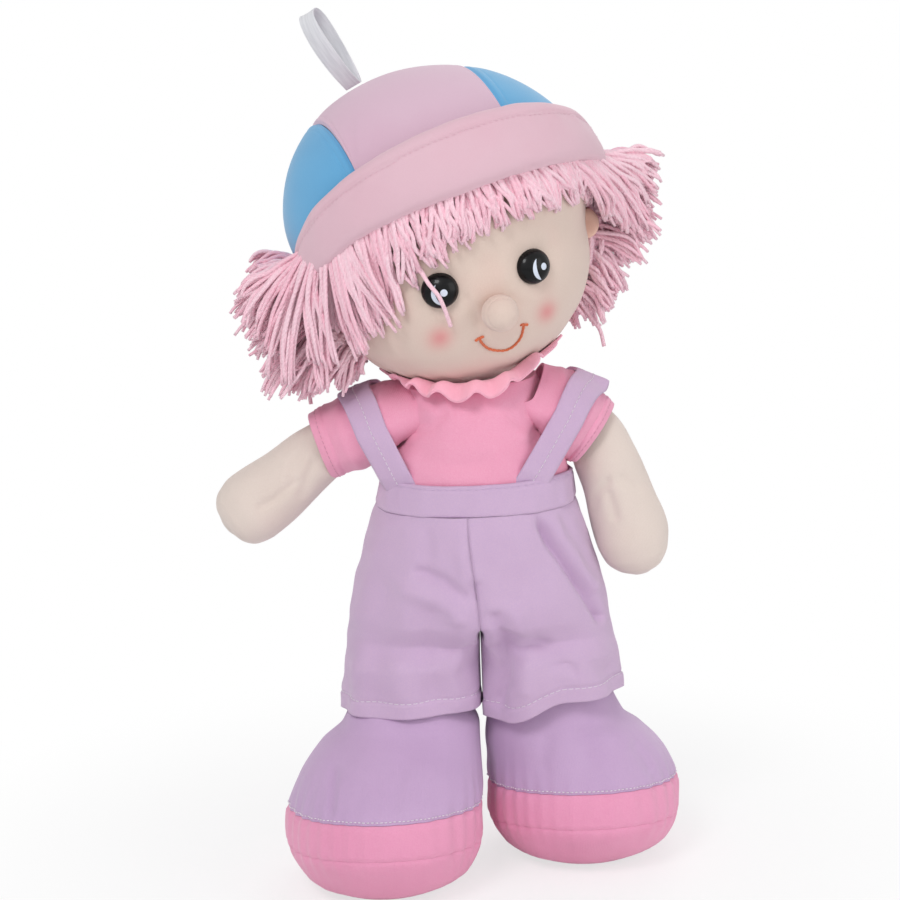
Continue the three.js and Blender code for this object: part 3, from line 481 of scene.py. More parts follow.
def threads(
    paths: Array,
    radius: Array | float,
    sides: int = 7,
    lobe: float = 0.0,
    turn: float = 0.0,
    tint: Array | None = None,
) -> Surface:
    """Many tubes at once: a section carried along each path, closed by a fan at both ends.

    The section's radius is r (1 + lobe cos 2(angle - turn s)), with s the distance along, which winds two plies.

    Args:
        paths: Tubes by points by three.
        radius: Radius, of one size or for each point of each tube.
        sides: Points round the section.
        lobe: Depth of the valleys between the plies, as a share of the radius.
        turn: Turn of the plies per millimetre, in radians.
        tint: One value per tube for the material.

    Returns:
        The closed tubes as one surface.
    """
    count, steps = paths.shape[:2]
    tangent = unit(np.gradient(paths, axis=1))
    helper = np.eye(3)[np.abs(tangent.mean(1)).argmin(-1)][:, None]
    normal = unit(np.cross(tangent, helper))
    binormal = np.cross(tangent, normal)
    spans = np.linalg.norm(np.diff(paths, axis=1), axis=-1)
    distance = np.pad(np.cumsum(spans, axis=1), ((0, 0), (1, 0)))
    angle = turns(sides)
    wound = 1 + lobe * np.cos(2 * (angle - turn * distance[..., None]))
    size = np.broadcast_to(np.asarray(radius, float), (count, steps))[..., None] * wound
    around = np.cos(angle)[:, None] * normal[:, :, None] + np.sin(angle)[:, None] * binormal[:, :, None]
    rings = paths[:, :, None] + size[..., None] * around
    points = np.concatenate([rings.reshape(count, -1, 3), paths[:, :1], paths[:, -1:]], axis=1)
    one, per_tube = tube_faces(steps, sides), points.shape[1]
    faces = np.where(one >= 0, one + (np.arange(count) * per_tube)[:, None, None], -1).reshape(-1, 4)
    lines = stacked(np.arange(sides + 1) / sides, distance[..., None] / 10)
    tips = [fan_uv(lines[:, end], (0, 1, 0, 0)) for end in (0, -1)]
    uv = np.concatenate([corner_uv(lines).reshape(count, -1, 4, 2), *tips], axis=1).reshape(-1, 4, 2)
    surface = surface_of(points.reshape(-1, 3), faces, uv)
    if tint is not None:
        surface.tint = np.repeat(tint, per_tube)
    return surface.outward()


def stitches(path: Array, away: Array, pitch: float, length: float, radius: float) -> Surface:
    """Short raised threads along a path: each is a half sine above the cloth over its own length.

    Args:
        path: Polyline on the cloth.
        away: Direction off the cloth at each point of the path.
        pitch: Distance from one stitch to the next.
        length: Length of a stitch.
        radius: Radius of the thread.

    Returns:
        All stitches of the row.
    """
    spans = np.linalg.norm(np.diff(path, axis=0), axis=-1)
    share = np.linspace(0, 1, 5)
    distance = np.arange(pitch / 2, spans.sum() - length, pitch)[:, None] + share * length
    both = np.concatenate([path, unit(away)], axis=-1)
    lengths = np.pad(np.cumsum(spans), (1, 0))
    read = np.stack([np.interp(distance, lengths, both[:, axis]) for axis in range(6)], axis=-1)
    lift = radius * (0.1 + np.sin(np.pi * share))[:, None]
    return threads(read[..., :3] + read[..., 3:] * lift, radius, sides=5)


# Finishes


Colour = tuple[int, int, int]
Socket = bpy.types.NodeSocket

# Scales of the noise textures, per metre.
PATCHES, LUMPS, FLOW, KNIT_FIBRES, FELT_FIBRES, YARN_FIBRES = 26.0, 120.0, 300.0, 1500.0, 2600.0, 2200.0


def linear(colour: Colour) -> tuple[float, float, float, float]:
    """Linear colour of 8-bit sRGB values."""
    share = np.array(colour) / 255.0
    red, green, blue = np.where(share <= 0.04045, share / 12.92, ((share + 0.055) / 1.055) ** 2.4)
    return float(red), float(green), float(blue), 1.0


class Graph:
    """A node tree, with short ways to add the nodes that the materials and the world use."""

    def __init__(self, tree: bpy.types.NodeTree) -> None:
        """Starts with an empty tree."""
        self.tree = tree
        tree.nodes.clear()

    def node(self, kind: str, **settings: object) -> bpy.types.Node:
        """A new node with its properties set."""
        made = self.tree.nodes.new(kind)
        for name, value in settings.items():
            setattr(made, name, value)
        return made

    def feed(self, node: bpy.types.Node, **values: object) -> None:
        """Links sockets to a node's inputs, or sets the inputs' own values; a name's _ stands for a space."""
        for name, value in values.items():
            socket = node.inputs[name.replace("_", " ")]
            if isinstance(value, Socket):
                self.tree.links.new(value, socket)
            else:
                socket.default_value = value

    def wired(self, node: bpy.types.Node, values: dict[int, object], output: int | str) -> Socket:
        """Output of a node whose numbered inputs are linked or set."""
        for index, value in values.items():
            if isinstance(value, Socket):
                self.tree.links.new(value, node.inputs[index])
            else:
                node.inputs[index].default_value = value
        return node.outputs[output]

    def math(self, operation: str, first: object, second: object = 0.0, third: object = 0.0) -> Socket:
        """Result of a Math node."""
        return self.wired(self.node("ShaderNodeMath", operation=operation), {0: first, 1: second, 2: third}, 0)

    def share(self, first: object, second: object, gain: float) -> Socket:
        """The difference of two values times a gain, kept between 0 and 1."""
        made = self.math("MULTIPLY", self.math("SUBTRACT", first, second), gain)
        made.node.use_clamp = True
        return made

    def blend(self, share: object, first: object, second: object) -> Socket:
        """Colour from first to second by a share."""
        return self.wired(self.node("ShaderNodeMix", data_type="RGBA"), {0: share, 6: first, 7: second}, 2)

    def noise(self, vector: object, scale: float, detail: float = 2.0) -> Socket:
        """Factor of a Noise texture."""
        made = self.node("ShaderNodeTexNoise")
        self.feed(made, Vector=vector, Scale=scale, Detail=detail)
        return made.outputs["Fac"]

    def bump(self, height: object, strength: float, distance: float, **below: Socket) -> Socket:
        """Normal of a Bump node, on top of another Normal where one is given."""
        made = self.node("ShaderNodeBump")
        self.feed(made, Strength=strength, Distance=distance, Height=height, **below)
        return made.outputs["Normal"]

    def mapped(self, value: Socket, **settings: float) -> Socket:
        """Result of a Map Range node."""
        made = self.node("ShaderNodeMapRange")
        self.feed(made, Value=value, **settings)
        return made.outputs["Result"]


class Paint(Graph):
    """Node tree of one material round a Principled shader."""

    def __init__(self, name: str) -> None:
        """Starts a material that has its shader and an output."""
        self.material = bpy.data.materials.new(name)
        self.material.use_nodes = True
        super().__init__(self.material.node_tree)
        self.shader = self.node("ShaderNodeBsdfPrincipled")
        self.output = self.node("ShaderNodeOutputMaterial")
        self.feed(self.output, Surface=self.shader.outputs["BSDF"])

    def finished(self, tone: Socket, normal: Socket, **settings: float) -> bpy.types.Material:
        """The material, with its colour, its normal and more inputs of the shader."""
        self.feed(self.shader, Base_Color=tone, Normal=normal, **settings)
        return self.material

    def place(self) -> Socket:
        """Object coordinates in metres."""
        return self.node("ShaderNodeTexCoord").outputs["Object"]

    def cloth_place(self) -> Socket:
        """The piece's own cloth coordinates in centimetres."""
        return self.node("ShaderNodeUVMap", uv_map="UVMap").outputs["UV"]

    def cloth_axes(self) -> tuple[Socket, Socket]:
        """Both cloth coordinates apart: across and along."""
        split = self.node("ShaderNodeSeparateXYZ")
        self.feed(split, Vector=self.cloth_place())
        return split.outputs[0], split.outputs[1]

    def tint(self) -> Socket:
        """The tint attribute of the mesh, from 0 to 1."""
        return self.node("ShaderNodeAttribute", attribute_name="tint").outputs["Fac"]


class Weave(Enum):
    """Structure of a cloth's face."""

    KNIT = "knit"
    PLAIN = "plain"
    FELT = "felt"


@dataclass(frozen=True)
class Finish:
    """A material's name, its main colour, and the colour of its flecks, depths or marks."""

    name: str
    base: Colour
    other: Colour

    def colours(self) -> tuple[Row, Row]:
        """Both colours as the shader wants them."""
        return linear(self.base), linear(self.other)

    def material(self) -> bpy.types.Material:
        """The Blender material of this finish."""
        raise NotImplementedError


@dataclass(frozen=True)
class Cloth(Finish):
    """A cloth: flecked with a second colour, a third in slow stains and where the tint attribute marks, and the
    structure of its face.
    """

    shade: Colour
    weave: Weave
    per_centimetre: float
    relief: float = 0.35
    fuzz: float = 0.3
    flecks: float = 0.35

    def threads_height(self, paint: Paint) -> Socket:
        """Height of the threads from 0 to 1: crossed sines for a plain weave, ribs of loops for a knit."""
        across, along = paint.cloth_axes()
        wobble = paint.math("MULTIPLY", paint.noise(paint.cloth_place(), 3.0), 1.6)
        turn = 2 * np.pi * self.per_centimetre
        u = paint.math("MULTIPLY_ADD", across, turn, wobble)
        v = paint.math("MULTIPLY_ADD", along, turn, wobble)
        if self.weave is Weave.PLAIN:
            product = paint.math("MULTIPLY", paint.math("SINE", u), paint.math("SINE", v))
            return paint.math("MULTIPLY_ADD", product, 0.5, 0.5)
        rib = paint.math("ABSOLUTE", paint.math("SINE", paint.math("MULTIPLY", u, 0.5)))
        loop = paint.math("SINE", paint.math("MULTIPLY_ADD", rib, 2.2, v))
        return paint.math("MULTIPLY_ADD", loop, 0.25, paint.math("MULTIPLY_ADD", rib, 0.5, 0.25))

    def material(self) -> bpy.types.Material:
        """Flecked and slowly varying colour, thread relief, fibre fuzz and sheen."""
        paint = Paint(self.name)
        place, shade, (base, fleck) = paint.place(), linear(self.shade), self.colours()
        fibres = paint.noise(place, FELT_FIBRES if self.weave is Weave.FELT else KNIT_FIBRES, 3.0)
        tone = paint.blend(paint.share(fibres, 0.35, self.flecks * 2.4), base, fleck)
        tone = paint.blend(paint.share(paint.noise(place, PATCHES, 3.0), 0.5, 0.5), tone, shade)
        tone = paint.blend(paint.tint(), tone, shade)
        normal = paint.bump(fibres, 0.35, 0.00018, Normal=paint.bump(paint.noise(place, LUMPS), 0.12, 0.0008))
        if self.weave is not Weave.FELT:
            normal = paint.bump(self.threads_height(paint), self.relief, 0.00022, Normal=normal)
        return paint.finished(
            tone, normal, Roughness=0.92, Specular_IOR_Level=0.18, Sheen_Weight=self.fuzz, Sheen_Roughness=0.55
        )


@dataclass(frozen=True)
class Yarn(Finish):
    """Acrylic yarn of two twisted plies, each strand of its own tint."""

    turns_per_centimetre: float = 1.9
    pale: Colour = (254, 232, 239)

    def material(self) -> bpy.types.Material:
        """Plies as diagonal stripes round the strand, of painted shade in the valleys between them, fibres along them,
        and a strong sheen.
        """
        paint = Paint(self.name)
        (light, deep), (across, along) = self.colours(), paint.cloth_axes()
        phase = paint.math("MULTIPLY", across, 4 * np.pi)
        winding = paint.math("MULTIPLY_ADD", along, -4 * np.pi * self.turns_per_centimetre, phase)
        ply = paint.math("ABSOLUTE", paint.math("SINE", paint.math("MULTIPLY", winding, 0.5)))
        fine = paint.math("SINE", paint.math("MULTIPLY", winding, 4.0))
        fibres = paint.noise(paint.place(), YARN_FIBRES, 3.0)
        tone = paint.blend(paint.tint(), light, deep)
        # Painted shade: the deep colour laid into the valleys between the plies, where ply falls below 0.4.
        tone = paint.blend(paint.share(0.4, ply, 0.7), tone, deep)
        tone = paint.blend(paint.share(fibres, 0.48, 1.6), tone, linear(self.pale))
        height = paint.math("MULTIPLY_ADD", fine, 0.12, ply)
        normal = paint.bump(height, 0.55, 0.0005, Normal=paint.bump(fibres, 0.4, 0.0002))
        return paint.finished(
            tone, normal, Roughness=0.78, Specular_IOR_Level=0.3, Sheen_Weight=0.45, Sheen_Roughness=0.45
        )


@dataclass(frozen=True)
class Thread(Finish):
    """Sewing or embroidery thread."""

    gloss: float = 0.45

    def material(self) -> bpy.types.Material:
        """Fine diagonal fibre stripes and a silky gloss."""
        paint = Paint(self.name)
        across, along = paint.cloth_axes()
        phase = paint.math("MULTIPLY", across, 4 * np.pi)
        wound = paint.math("SINE", paint.math("MULTIPLY_ADD", along, 60.0, phase))
        tone = paint.blend(paint.math("MULTIPLY_ADD", wound, 0.25, 0.3), *self.colours())
        return paint.finished(tone, paint.bump(wound, 0.4, 0.0001), Roughness=self.gloss, Sheen_Weight=0.2)


@dataclass(frozen=True)
class Satin(Finish):
    """Thin satin ribbon with fine ribs across."""

    ribs_per_centimetre: float = 26
    streaks: Triple = (9.0, 0.8, 1.0)

    def material(self) -> bpy.types.Material:
        """Soft gloss, ribs as relief and slow grey streaks."""
        paint = Paint(self.name)
        along = paint.cloth_axes()[1]
        ribs = paint.math("SINE", paint.math("MULTIPLY", along, 2 * np.pi * self.ribs_per_centimetre))
        stretch = paint.node("ShaderNodeMapping")
        paint.feed(stretch, Vector=paint.cloth_place(), Scale=self.streaks)
        tone = paint.blend(paint.noise(stretch.outputs[0], 1.0), *self.colours())
        return paint.finished(tone, paint.bump(ribs, 0.25, 0.00012), Roughness=0.36, Sheen_Weight=0.25)


@dataclass(frozen=True)
class Plastic(Finish):
    """Moulded plastic with faint flow marks; the tint attribute paints the other colour."""

    roughness: float
    coat: float = 0.0

    def material(self) -> bpy.types.Material:
        """Two colours with a sharp border between them, and a coat that carries the gloss."""
        paint = Paint(self.name)
        tone = paint.blend(paint.share(paint.tint(), 0.45, 10.0), *self.colours())
        flow = paint.bump(paint.noise(paint.place(), FLOW), 0.04, 0.0002)
        return paint.finished(
            tone, flow, Roughness=self.roughness, Specular_IOR_Level=0.12, Coat_Weight=self.coat, Coat_Roughness=0.03
        )


FACE_CLOTH = Cloth("face_jersey", (220, 199, 187), (228, 211, 199), (221, 142, 142), Weave.KNIT, 22, 0.2)
EAR_CLOTH = Cloth("ear_jersey", (232, 190, 172), (238, 202, 186), (214, 154, 134), Weave.KNIT, 22, 0.2)
BODY_CLOTH = Cloth("body_jersey", (223, 208, 199), (231, 219, 211), (214, 184, 172), Weave.KNIT, 18, 0.3)
SHIRT_CLOTH = Cloth("shirt_jersey", (237, 160, 189), (244, 184, 206), (216, 116, 152), Weave.KNIT, 16, 0.35)
RUFFLE_CLOTH = Cloth("ruffle_jersey", (252, 180, 202), (254, 198, 214), (214, 104, 140), Weave.KNIT, 16, 0.35)
SHORTS_CLOTH = Cloth(
    "shorts_weave", (205, 176, 209), (217, 188, 212), (172, 134, 180), Weave.PLAIN, 14, 0.5, flecks=0.5
)
SHOE_LILAC = Cloth("shoe_lilac_velour", (198, 166, 204), (210, 181, 210), (166, 128, 176), Weave.KNIT, 18, 0.3)
SHOE_PINK = Cloth("shoe_pink_velour", (236, 156, 190), (243, 176, 202), (206, 112, 150), Weave.KNIT, 14, 0.35)
CAP_BLUE = Cloth("cap_blue_felt", (98, 170, 216), (118, 183, 221), (80, 134, 188), Weave.FELT, 1, fuzz=0.35)
CAP_PINK = Cloth("cap_pink_felt", (216, 182, 201), (224, 195, 210), (204, 146, 176), Weave.FELT, 1, fuzz=0.35)
BRIM_CLOTH = Cloth("brim_felt", (220, 182, 195), (228, 196, 206), (219, 152, 174), Weave.FELT, 1, fuzz=0.35)
HAIR_YARN = Yarn("hair_yarn", (254, 216, 228), (250, 194, 211))
WHITE_THREAD = Thread("white_thread", (240, 232, 240), (206, 190, 210))
LILAC_THREAD = Thread("lilac_thread", (208, 182, 214), (184, 152, 192))
BRIM_THREAD = Thread("brim_thread", (228, 184, 200), (208, 158, 178))
PINK_THREAD = Thread("pink_thread", (226, 160, 184), (196, 118, 150))
NECK_THREAD = Thread("neck_thread", (232, 221, 212), (200, 184, 172))
MOUTH_THREAD = Thread("mouth_thread", (222, 112, 66), (186, 76, 40), 0.5)
RIBBON_SATIN = Satin("ribbon_satin", (236, 236, 240), (196, 197, 203))
EYE_PLASTIC = Plastic("eye_plastic", (8, 8, 10), (214, 222, 236), 0.32, 0.22)
WASHER_PLASTIC = Plastic("washer_plastic", (240, 240, 238), (220, 220, 218), 0.55)


# Workshop: turns surfaces into pieces of the model


def linked(name: str, data: bpy.types.ID) -> bpy.types.Object:
    """A new object of some data, linked into the scene."""
    made = bpy.data.objects.new(name, data)
    bpy.context.scene.collection.objects.link(made)
    return made


def mesh_of(name: str, surface: Surface) -> bpy.types.Mesh:
    """A mesh of a surface, with its cloth coordinates as UVMap and its tint as an attribute of the points."""
    mesh = bpy.data.meshes.new(name)
    used = surface.faces >= 0
    corners = used.sum(1)
    mesh.vertices.add(len(surface.points))
    mesh.loops.add(int(corners.sum()))
    mesh.polygons.add(len(surface.faces))
    for rows, key, values, kind in (
        (mesh.vertices, "co", (surface.points + FRAME_SHIFT) * MILLIMETRE, np.float32),
        (mesh.loops, "vertex_index", surface.faces[used], np.int32),
        (mesh.polygons, "loop_start", np.cumsum(corners) - corners, np.int32),
        (mesh.polygons, "material_index", surface.finish, np.int32),
    ):
        rows.foreach_set(key, values.astype(kind).ravel())
    layer = mesh.uv_layers.new(name="UVMap")
    layer.data.foreach_set("uv", surface.uv[used].astype(np.float32).ravel())
    tint = mesh.attributes.new("tint", "FLOAT", "POINT")
    tint.data.foreach_set("value", surface.tint.astype(np.float32))
    mesh.update(calc_edges=True)
    mesh.polygons.foreach_set("use_smooth", ~surface.flat)
    mesh.validate()
    return mesh


@dataclass
class Workshop:
    """Makes objects of surfaces, dresses them, and hands them to the frame."""

    least_across: float = 0.012
    least_along: float = 0.0101
    materials: dict[str, bpy.types.Material] = field(default_factory=dict)

    def finish(self, finish: Finish) -> bpy.types.Material:
        """The material of a finish, made once."""
        if finish.name not in self.materials:
            self.materials[finish.name] = finish.material()
        return self.materials[finish.name]

    def piece(
        self,
        name: str,
        surface: Surface,
        finishes: tuple[Finish, ...],
        slot: str,
        replaces: tuple[str, ...] = (),
        body: str | None = None,
    ) -> bpy.types.Object:
        """A finished object at the origin.

        Args:
            name: The piece's name.
            surface: Its surface in the doll's frame, in millimetres.
            finishes: Finish of each material slot.
            slot: The record's material slot; not used.
            replaces: CAD nodes that it stands for.
            body: The CAD body that it rides on, or None where it rides on none.

        Returns:
            The object.
        """
        mesh = mesh_of(name, surface)
        for finish in finishes:
            mesh.materials.append(self.finish(finish))
        made = linked(name, mesh)
        if replaces:
            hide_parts(*replaces)
        if body is not None:
            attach(made, body)
        LOG.info("%s: %d faces, %s", name, len(mesh.polygons), body or "blended")
        return made

    def sheet(self, made: bpy.types.Object, surface: Surface, held: str, rests_on: tuple[str, ...]) -> None:
        """Takes a shell, how it is held and the pieces that it rests on, and does nothing with them. Declares a
        shell as a sheet of cloth, cut as a rectangle of half its own area and of its cloth length.
        """


# Forms that several pieces share


@dataclass(frozen=True)
class TrunkForm:
    """The stuffed trunk: rings whose half width, front and back depth follow a table of heights."""

    low: float = 132.0
    length: float = 124.0
    half_width: float = 46.0
    front: float = 38.0
    back: float = 31.0
    fullness: float = 2.3
    heights: Row = (0, 0.05, 0.115, 0.2, 0.32, 0.46, 0.64, 0.71, 0.77, 0.87, 0.94, 1)
    widths: Row = (0.43, 0.74, 0.9, 0.97, 1, 0.96, 0.9, 0.74, 0.69, 0.68, 0.62, 0.3)
    fronts: Row = (0.04, 0.18, 0.4, 0.72, 0.96, 1, 0.99, 0.97, 0.92, 0.82, 0.68, 0.3)
    backs: Row = (0.2, 0.42, 0.64, 0.86, 1, 1, 0.96, 0.94, 0.91, 0.84, 0.72, 0.3)

    def reach(self, height: Array, grow: float) -> tuple[Array, Array, Array]:
        """Half width, front and back depth at a height, grown all round."""
        share = (height - self.low) / self.length
        width = self.half_width * table(self.heights, self.widths, share) + grow
        front = self.front * table(self.heights, self.fronts, share) + grow
        return width, front, self.back * table(self.heights, self.backs, share) + grow

    def rings(self, heights: Array, count: int, grow: float) -> Array:
        """Full ovals about the upright axis; heights is a column, or gives every point its own height."""
        angle = turns(count)
        width, front, back = self.reach(heights, grow)
        x = fuller(np.cos(angle), self.fullness) * width
        y = fuller(np.sin(angle), self.fullness) * np.where(np.sin(angle) > 0, back, front)
        return stacked(x, y, heights)

    def holds(self, points: Array, grow: float) -> Array:
        """Whether points lie inside: (x/width)^p + (y/depth)^p < 1 between the two ends."""
        x, y, z = np.moveaxis(points, -1, 0)
        width, front, back = self.reach(z, grow)
        oval = np.abs(x / width) ** self.fullness + np.abs(y / np.where(y > 0, back, front)) ** self.fullness
        return (oval < 1) & (z < self.low + self.length + grow) & (z > self.low - grow)


@dataclass(frozen=True)
class Limb:
    """Places of one arm and its sleeve: two curves in the front plane, each a start, a pull point and an end."""

    side: Side
    shoulder_height: float
    elbow: Pair
    hand: Pair
    sleeve_bend: Pair
    sleeve_end: Pair
    sleeve_root_height: float
    shoulder_out: float = 49.04
    sleeve_root_out: float = 26.0
    sleeve_root_depth: float = 26.0
    chest_fill: float = 2.5
    sleeve_end_radius: float = 16.8

    def curve(self, start: Pair, pull: Pair, end: Pair, along: Array) -> Array:
        """Quadratic Bezier curve in the front plane, at shares that may run a little past its end."""
        corners = np.array([start, pull, end]) * [self.side.value, 1.0]
        share = along[..., None]
        flat = (1 - share) ** 2 * corners[0] + 2 * share * (1 - share) * corners[1] + share**2 * corners[2]
        return stacked(flat[..., 0], 0.0, flat[..., 1])

    def arm(self, along: Array) -> Array:
        """Middle line of the arm from the shoulder to the hand."""
        out, height = self.shoulder_out, self.shoulder_height
        pull = (out + self.elbow[0], height - self.elbow[1])
        return self.curve((out, height), pull, (out + self.hand[0], height - self.hand[1]), along)

    def sleeve(self, along: Array) -> Array:
        """Middle line of the sleeve from inside the trunk to its hem."""
        height = self.shoulder_height
        pull = (self.sleeve_bend[0], height - self.sleeve_bend[1])
        end = (self.sleeve_end[0], height - self.sleeve_end[1])
        return self.curve((self.sleeve_root_out, height), pull, end, along)

    def fill(self, along: Array) -> Array:
        """How much deeper the sleeve is where it comes off the chest."""
        return self.chest_fill * smoothstep(0.5, 0.0, along)

    def sleeve_size(self, along: Array, grow: float) -> tuple[Array, Array]:
        """Half height and half depth of the sleeve at a share of its length."""
        taper = along**3
        height = mix(self.sleeve_root_height, self.sleeve_end_radius, taper) + grow
        return height, mix(self.sleeve_root_depth, self.sleeve_end_radius, taper) + grow

    def sleeve_holds(self, points: Array, grow: float) -> Array:
        """Whether points lie inside the sleeve, each measured from the nearest point of the sleeve's middle line."""
        along = np.linspace(0, 1, 60)
        gap = np.linalg.norm(points[..., None, [0, 2]] - self.sleeve(along)[:, [0, 2]], axis=-1)
        nearest, least = gap.argmin(-1), gap.min(-1)
        height, depth = self.sleeve_size(along[nearest], grow)
        ended = (nearest == len(along) - 1) & (least > self.sleeve_end_radius)
        return ((least / height) ** 2 + (points[..., 1] / depth) ** 2 < 1) & ~ended


def swept(line: Array, width: Array, depth: Array, count: int, power: float = 2.0) -> Array:
    """Rings square to a line in the front plane.

    Args:
        line: Middle line, points by three.
        width: Half width across the line in the front plane, at each point.
        depth: Half depth along Y, at each point.
        count: Points round each ring.
        power: 2 for an ellipse, more for a fuller section.

    Returns:
        Rings by points by three.
    """
    tangent = unit(np.gradient(line, axis=0))
    across = stacked(-tangent[:, 2], 0.0, tangent[:, 0])
    angle = turns(count)
    side = (width[:, None] * fuller(np.cos(angle), power))[..., None] * across[:, None]
    deep = (depth[:, None] * fuller(np.sin(angle), power))[..., None] * BACKWARD
    return line[:, None] + side + deep


@dataclass(frozen=True)
class HeadForm:
    """The stuffed head in its own frame: a ball below its middle, the inside of the padded crown above."""

    half_width: float = 64.0
    half_depth: float = 56.0
    drop: float = 56.3
    crown_rise: float = 30.0
    inner_width: float = 70.7
    inner_depth: float = 62.7
    inner_height: float = 61.2
    rim_height: float = 26.0
    rim_pitch: float = 14.0
    rim_roll: float = 5.0
    rim_reading: Pair = (20.0, 2.0)

    def reach(self, height: Array) -> tuple[Array, Array]:
        """Half width and half depth at a height above the middle."""
        height = np.asarray(height, float)
        low = np.sqrt(np.clip(1 - (height / self.drop) ** 2, 0, 1))
        high = np.sqrt(np.clip(1 - ((height - self.crown_rise) / self.inner_height) ** 2, 0, 1))
        share = smoothstep(0, self.crown_rise, height)
        width = np.where(height < 0, self.half_width * low, mix(self.half_width, self.inner_width, share))
        depth = np.where(height < 0, self.half_depth * low, mix(self.half_depth, self.inner_depth, share))
        above = height > self.crown_rise
        return np.where(above, self.inner_width * high, width), np.where(above, self.inner_depth * high, depth)

    def spot(self, degrees: Array, height: Array, offset: Array | float) -> Array:
        """Point beside the surface; the angle turns from the face towards the doll's left."""
        width, depth = self.reach(height)
        angle = np.radians(degrees)
        return stacked((width + offset) * np.sin(angle), -(depth + offset) * np.cos(angle), height)

    def rim(self, points: Array) -> Array:
        """Height of the cap's rim plane over points of the head's frame."""
        spots = points @ rotation(Axis.Z, CAP_YAW)
        roll = np.tan(np.radians(self.rim_roll)) * spots[..., 0]
        return self.rim_height + roll - np.tan(np.radians(self.rim_pitch)) * spots[..., 1]

    def rim_at(self, degrees: Array) -> Array:
        """Height of the cap's rim plane at angles round the head, read a little off its surface."""
        return self.rim(self.spot(degrees, *self.rim_reading))

    def sunk(self, points: Array, room: float, poses: tuple[Pair, ...] = ((0.0, 0.0),)) -> Array:
        """Points lowered straight down out of the head's ball, grown by room, in several poses of the head.

        Along the way down p + t d, the ball's equation a t^2 + 2 b t + c = 0 is solved for the farther t.

        Args:
            points: Places in the doll's frame.
            room: Distance kept from the ball.
            poses: Tilt and nod of each pose, in degrees.

        Returns:
            The places, with those inside the ball moved down to its surface.
        """
        result = points.copy()
        radii = np.array([self.half_width, self.half_depth, self.drop]) + room
        for tilt, nod in poses:
            turned = rotation(Axis.Y, tilt), rotation(Axis.X, nod)
            level = (result - NECK_BASE) @ turned[0] + NECK_BASE - NECK_TOP
            here = to_head(level @ turned[1] + NECK_TOP)
            down = np.array([0.0, 0.0, -1.0]) @ turned[0] @ turned[1]
            down = down @ rotation(Axis.Y, HEAD_ROLL) @ rotation(Axis.Z, HEAD_YAW)
            a = ((down / radii) ** 2).sum()
            b = (down * here / radii**2).sum(-1)
            c = ((here / radii) ** 2).sum(-1) - 1
            inside = b**2 - a * c
            drop = (-b + np.sqrt(np.maximum(inside, 0))) / a
            result[..., 2] -= np.where((inside > 0) & (drop > 0), drop, 0.0)
        return result


TRUNK = TrunkForm()
HEAD = HeadForm()
# Tilt and nod, in degrees, at rest and at the ends of both joints.
HEAD_LIMITS = ((0.0, 0.0), (-2.0, -8.0), (-2.0, 8.0), (12.0, -8.0), (12.0, 8.0))
RIGHT_LIMB = Limb(
    side=Side.RIGHT,
    shoulder_height=231.944,
    elbow=(36.0, 29.0),
    hand=(71.7, 55.0),
    sleeve_bend=(50.0, 8.0),
    sleeve_end=(73.6, 16.0),
    sleeve_root_height=18.5,
)
LEFT_LIMB = Limb(
    side=Side.LEFT,
    shoulder_height=236.036,
    elbow=(17.7, 31.0),
    hand=(30.7, 89.0),
    sleeve_bend=(44.0, 9.0),
    sleeve_end=(57.5, 19.0),
    sleeve_root_height=21.0,
)
LIMBS = (RIGHT_LIMB, LEFT_LIMB)


# Trunk and neck


@dataclass
class Trunk:
    """The cloth trunk under the clothes, and the gathered neck that the head turns on."""

    shop: Workshop
    head_room: float = 2.9
    neck_low_radius: float = 9.0
    neck_high_radius: float = 8.0
    neck_below: float = 8.6
    neck_above: float = 7.4
    pleats: int = 13
    pleat_depth: float = 0.035
    thread_radius: float = 0.8
    rows: int = 84
    columns: int = 80
    neck_rows: int = 34
    neck_columns: int = 104

    def build(self) -> None:
        """Makes the trunk, the neck and its gathering thread."""
        share = np.linspace(0, 1, self.rows)[:, None]
        rings = TRUNK.rings(TRUNK.low + TRUNK.length * share, self.columns, 0.0)
        rings = HEAD.sunk(rings, self.head_room, HEAD_LIMITS)
        rings[..., 0] *= 1 - 0.02 * bell(share - 0.72, 0.12)
        nodes = ("torso_cover", "torso_filling")
        made = self.shop.piece("torso_skin", skin(rings), (BODY_CLOTH,), "body_cloth", nodes, "torso")
        self.neck()
        self.binding()

    def neck(self) -> None:
        """Makes the gathered stub: a tube with upright pleats between a ball in the trunk and one in the head."""
        share, angle = np.linspace(0, 1, self.neck_rows)[:, None], turns(self.neck_columns)
        height = mix(NECK_BASE[2] - self.neck_below, NECK_TOP[2] + self.neck_above, share)
        lower, upper = (
            np.sqrt(np.clip(radius**2 - (height - ball[2]) ** 2, 0.05, None))
            for radius, ball in ((self.neck_low_radius, NECK_BASE), (self.neck_high_radius, NECK_TOP))
        )
        radius = np.maximum(lower, upper) * (1 - self.pleat_depth * (1 + np.cos(self.pleats * angle)))
        rings = stacked(NECK_BASE[0] + radius * np.cos(angle), radius * np.sin(angle), height)
        stub = self.shop.piece("neck_gathers", skin(rings), (BODY_CLOTH,), "body_cloth", ("neck_stub",), "neck")

    def binding(self) -> None:
        """Makes the thread wound round the neck's top."""
        turn = np.linspace(0, 2 * np.pi, 73)
        ring = self.neck_high_radius + 0.3 + self.thread_radius
        circle = stacked(ring * np.cos(turn), ring * np.sin(turn), 0.2 * np.sin(6 * turn))
        placed = circle @ rotation(Axis.Y, HEAD_ROLL).T + NECK_TOP
        wound = threads(placed[None], self.thread_radius * 0.92, 10, 0.18, 1.4)
        self.shop.piece("neck_binding", wound, (NECK_THREAD,), "thread", ("neck_thread",), "neck_ring")


# Shirt and collar


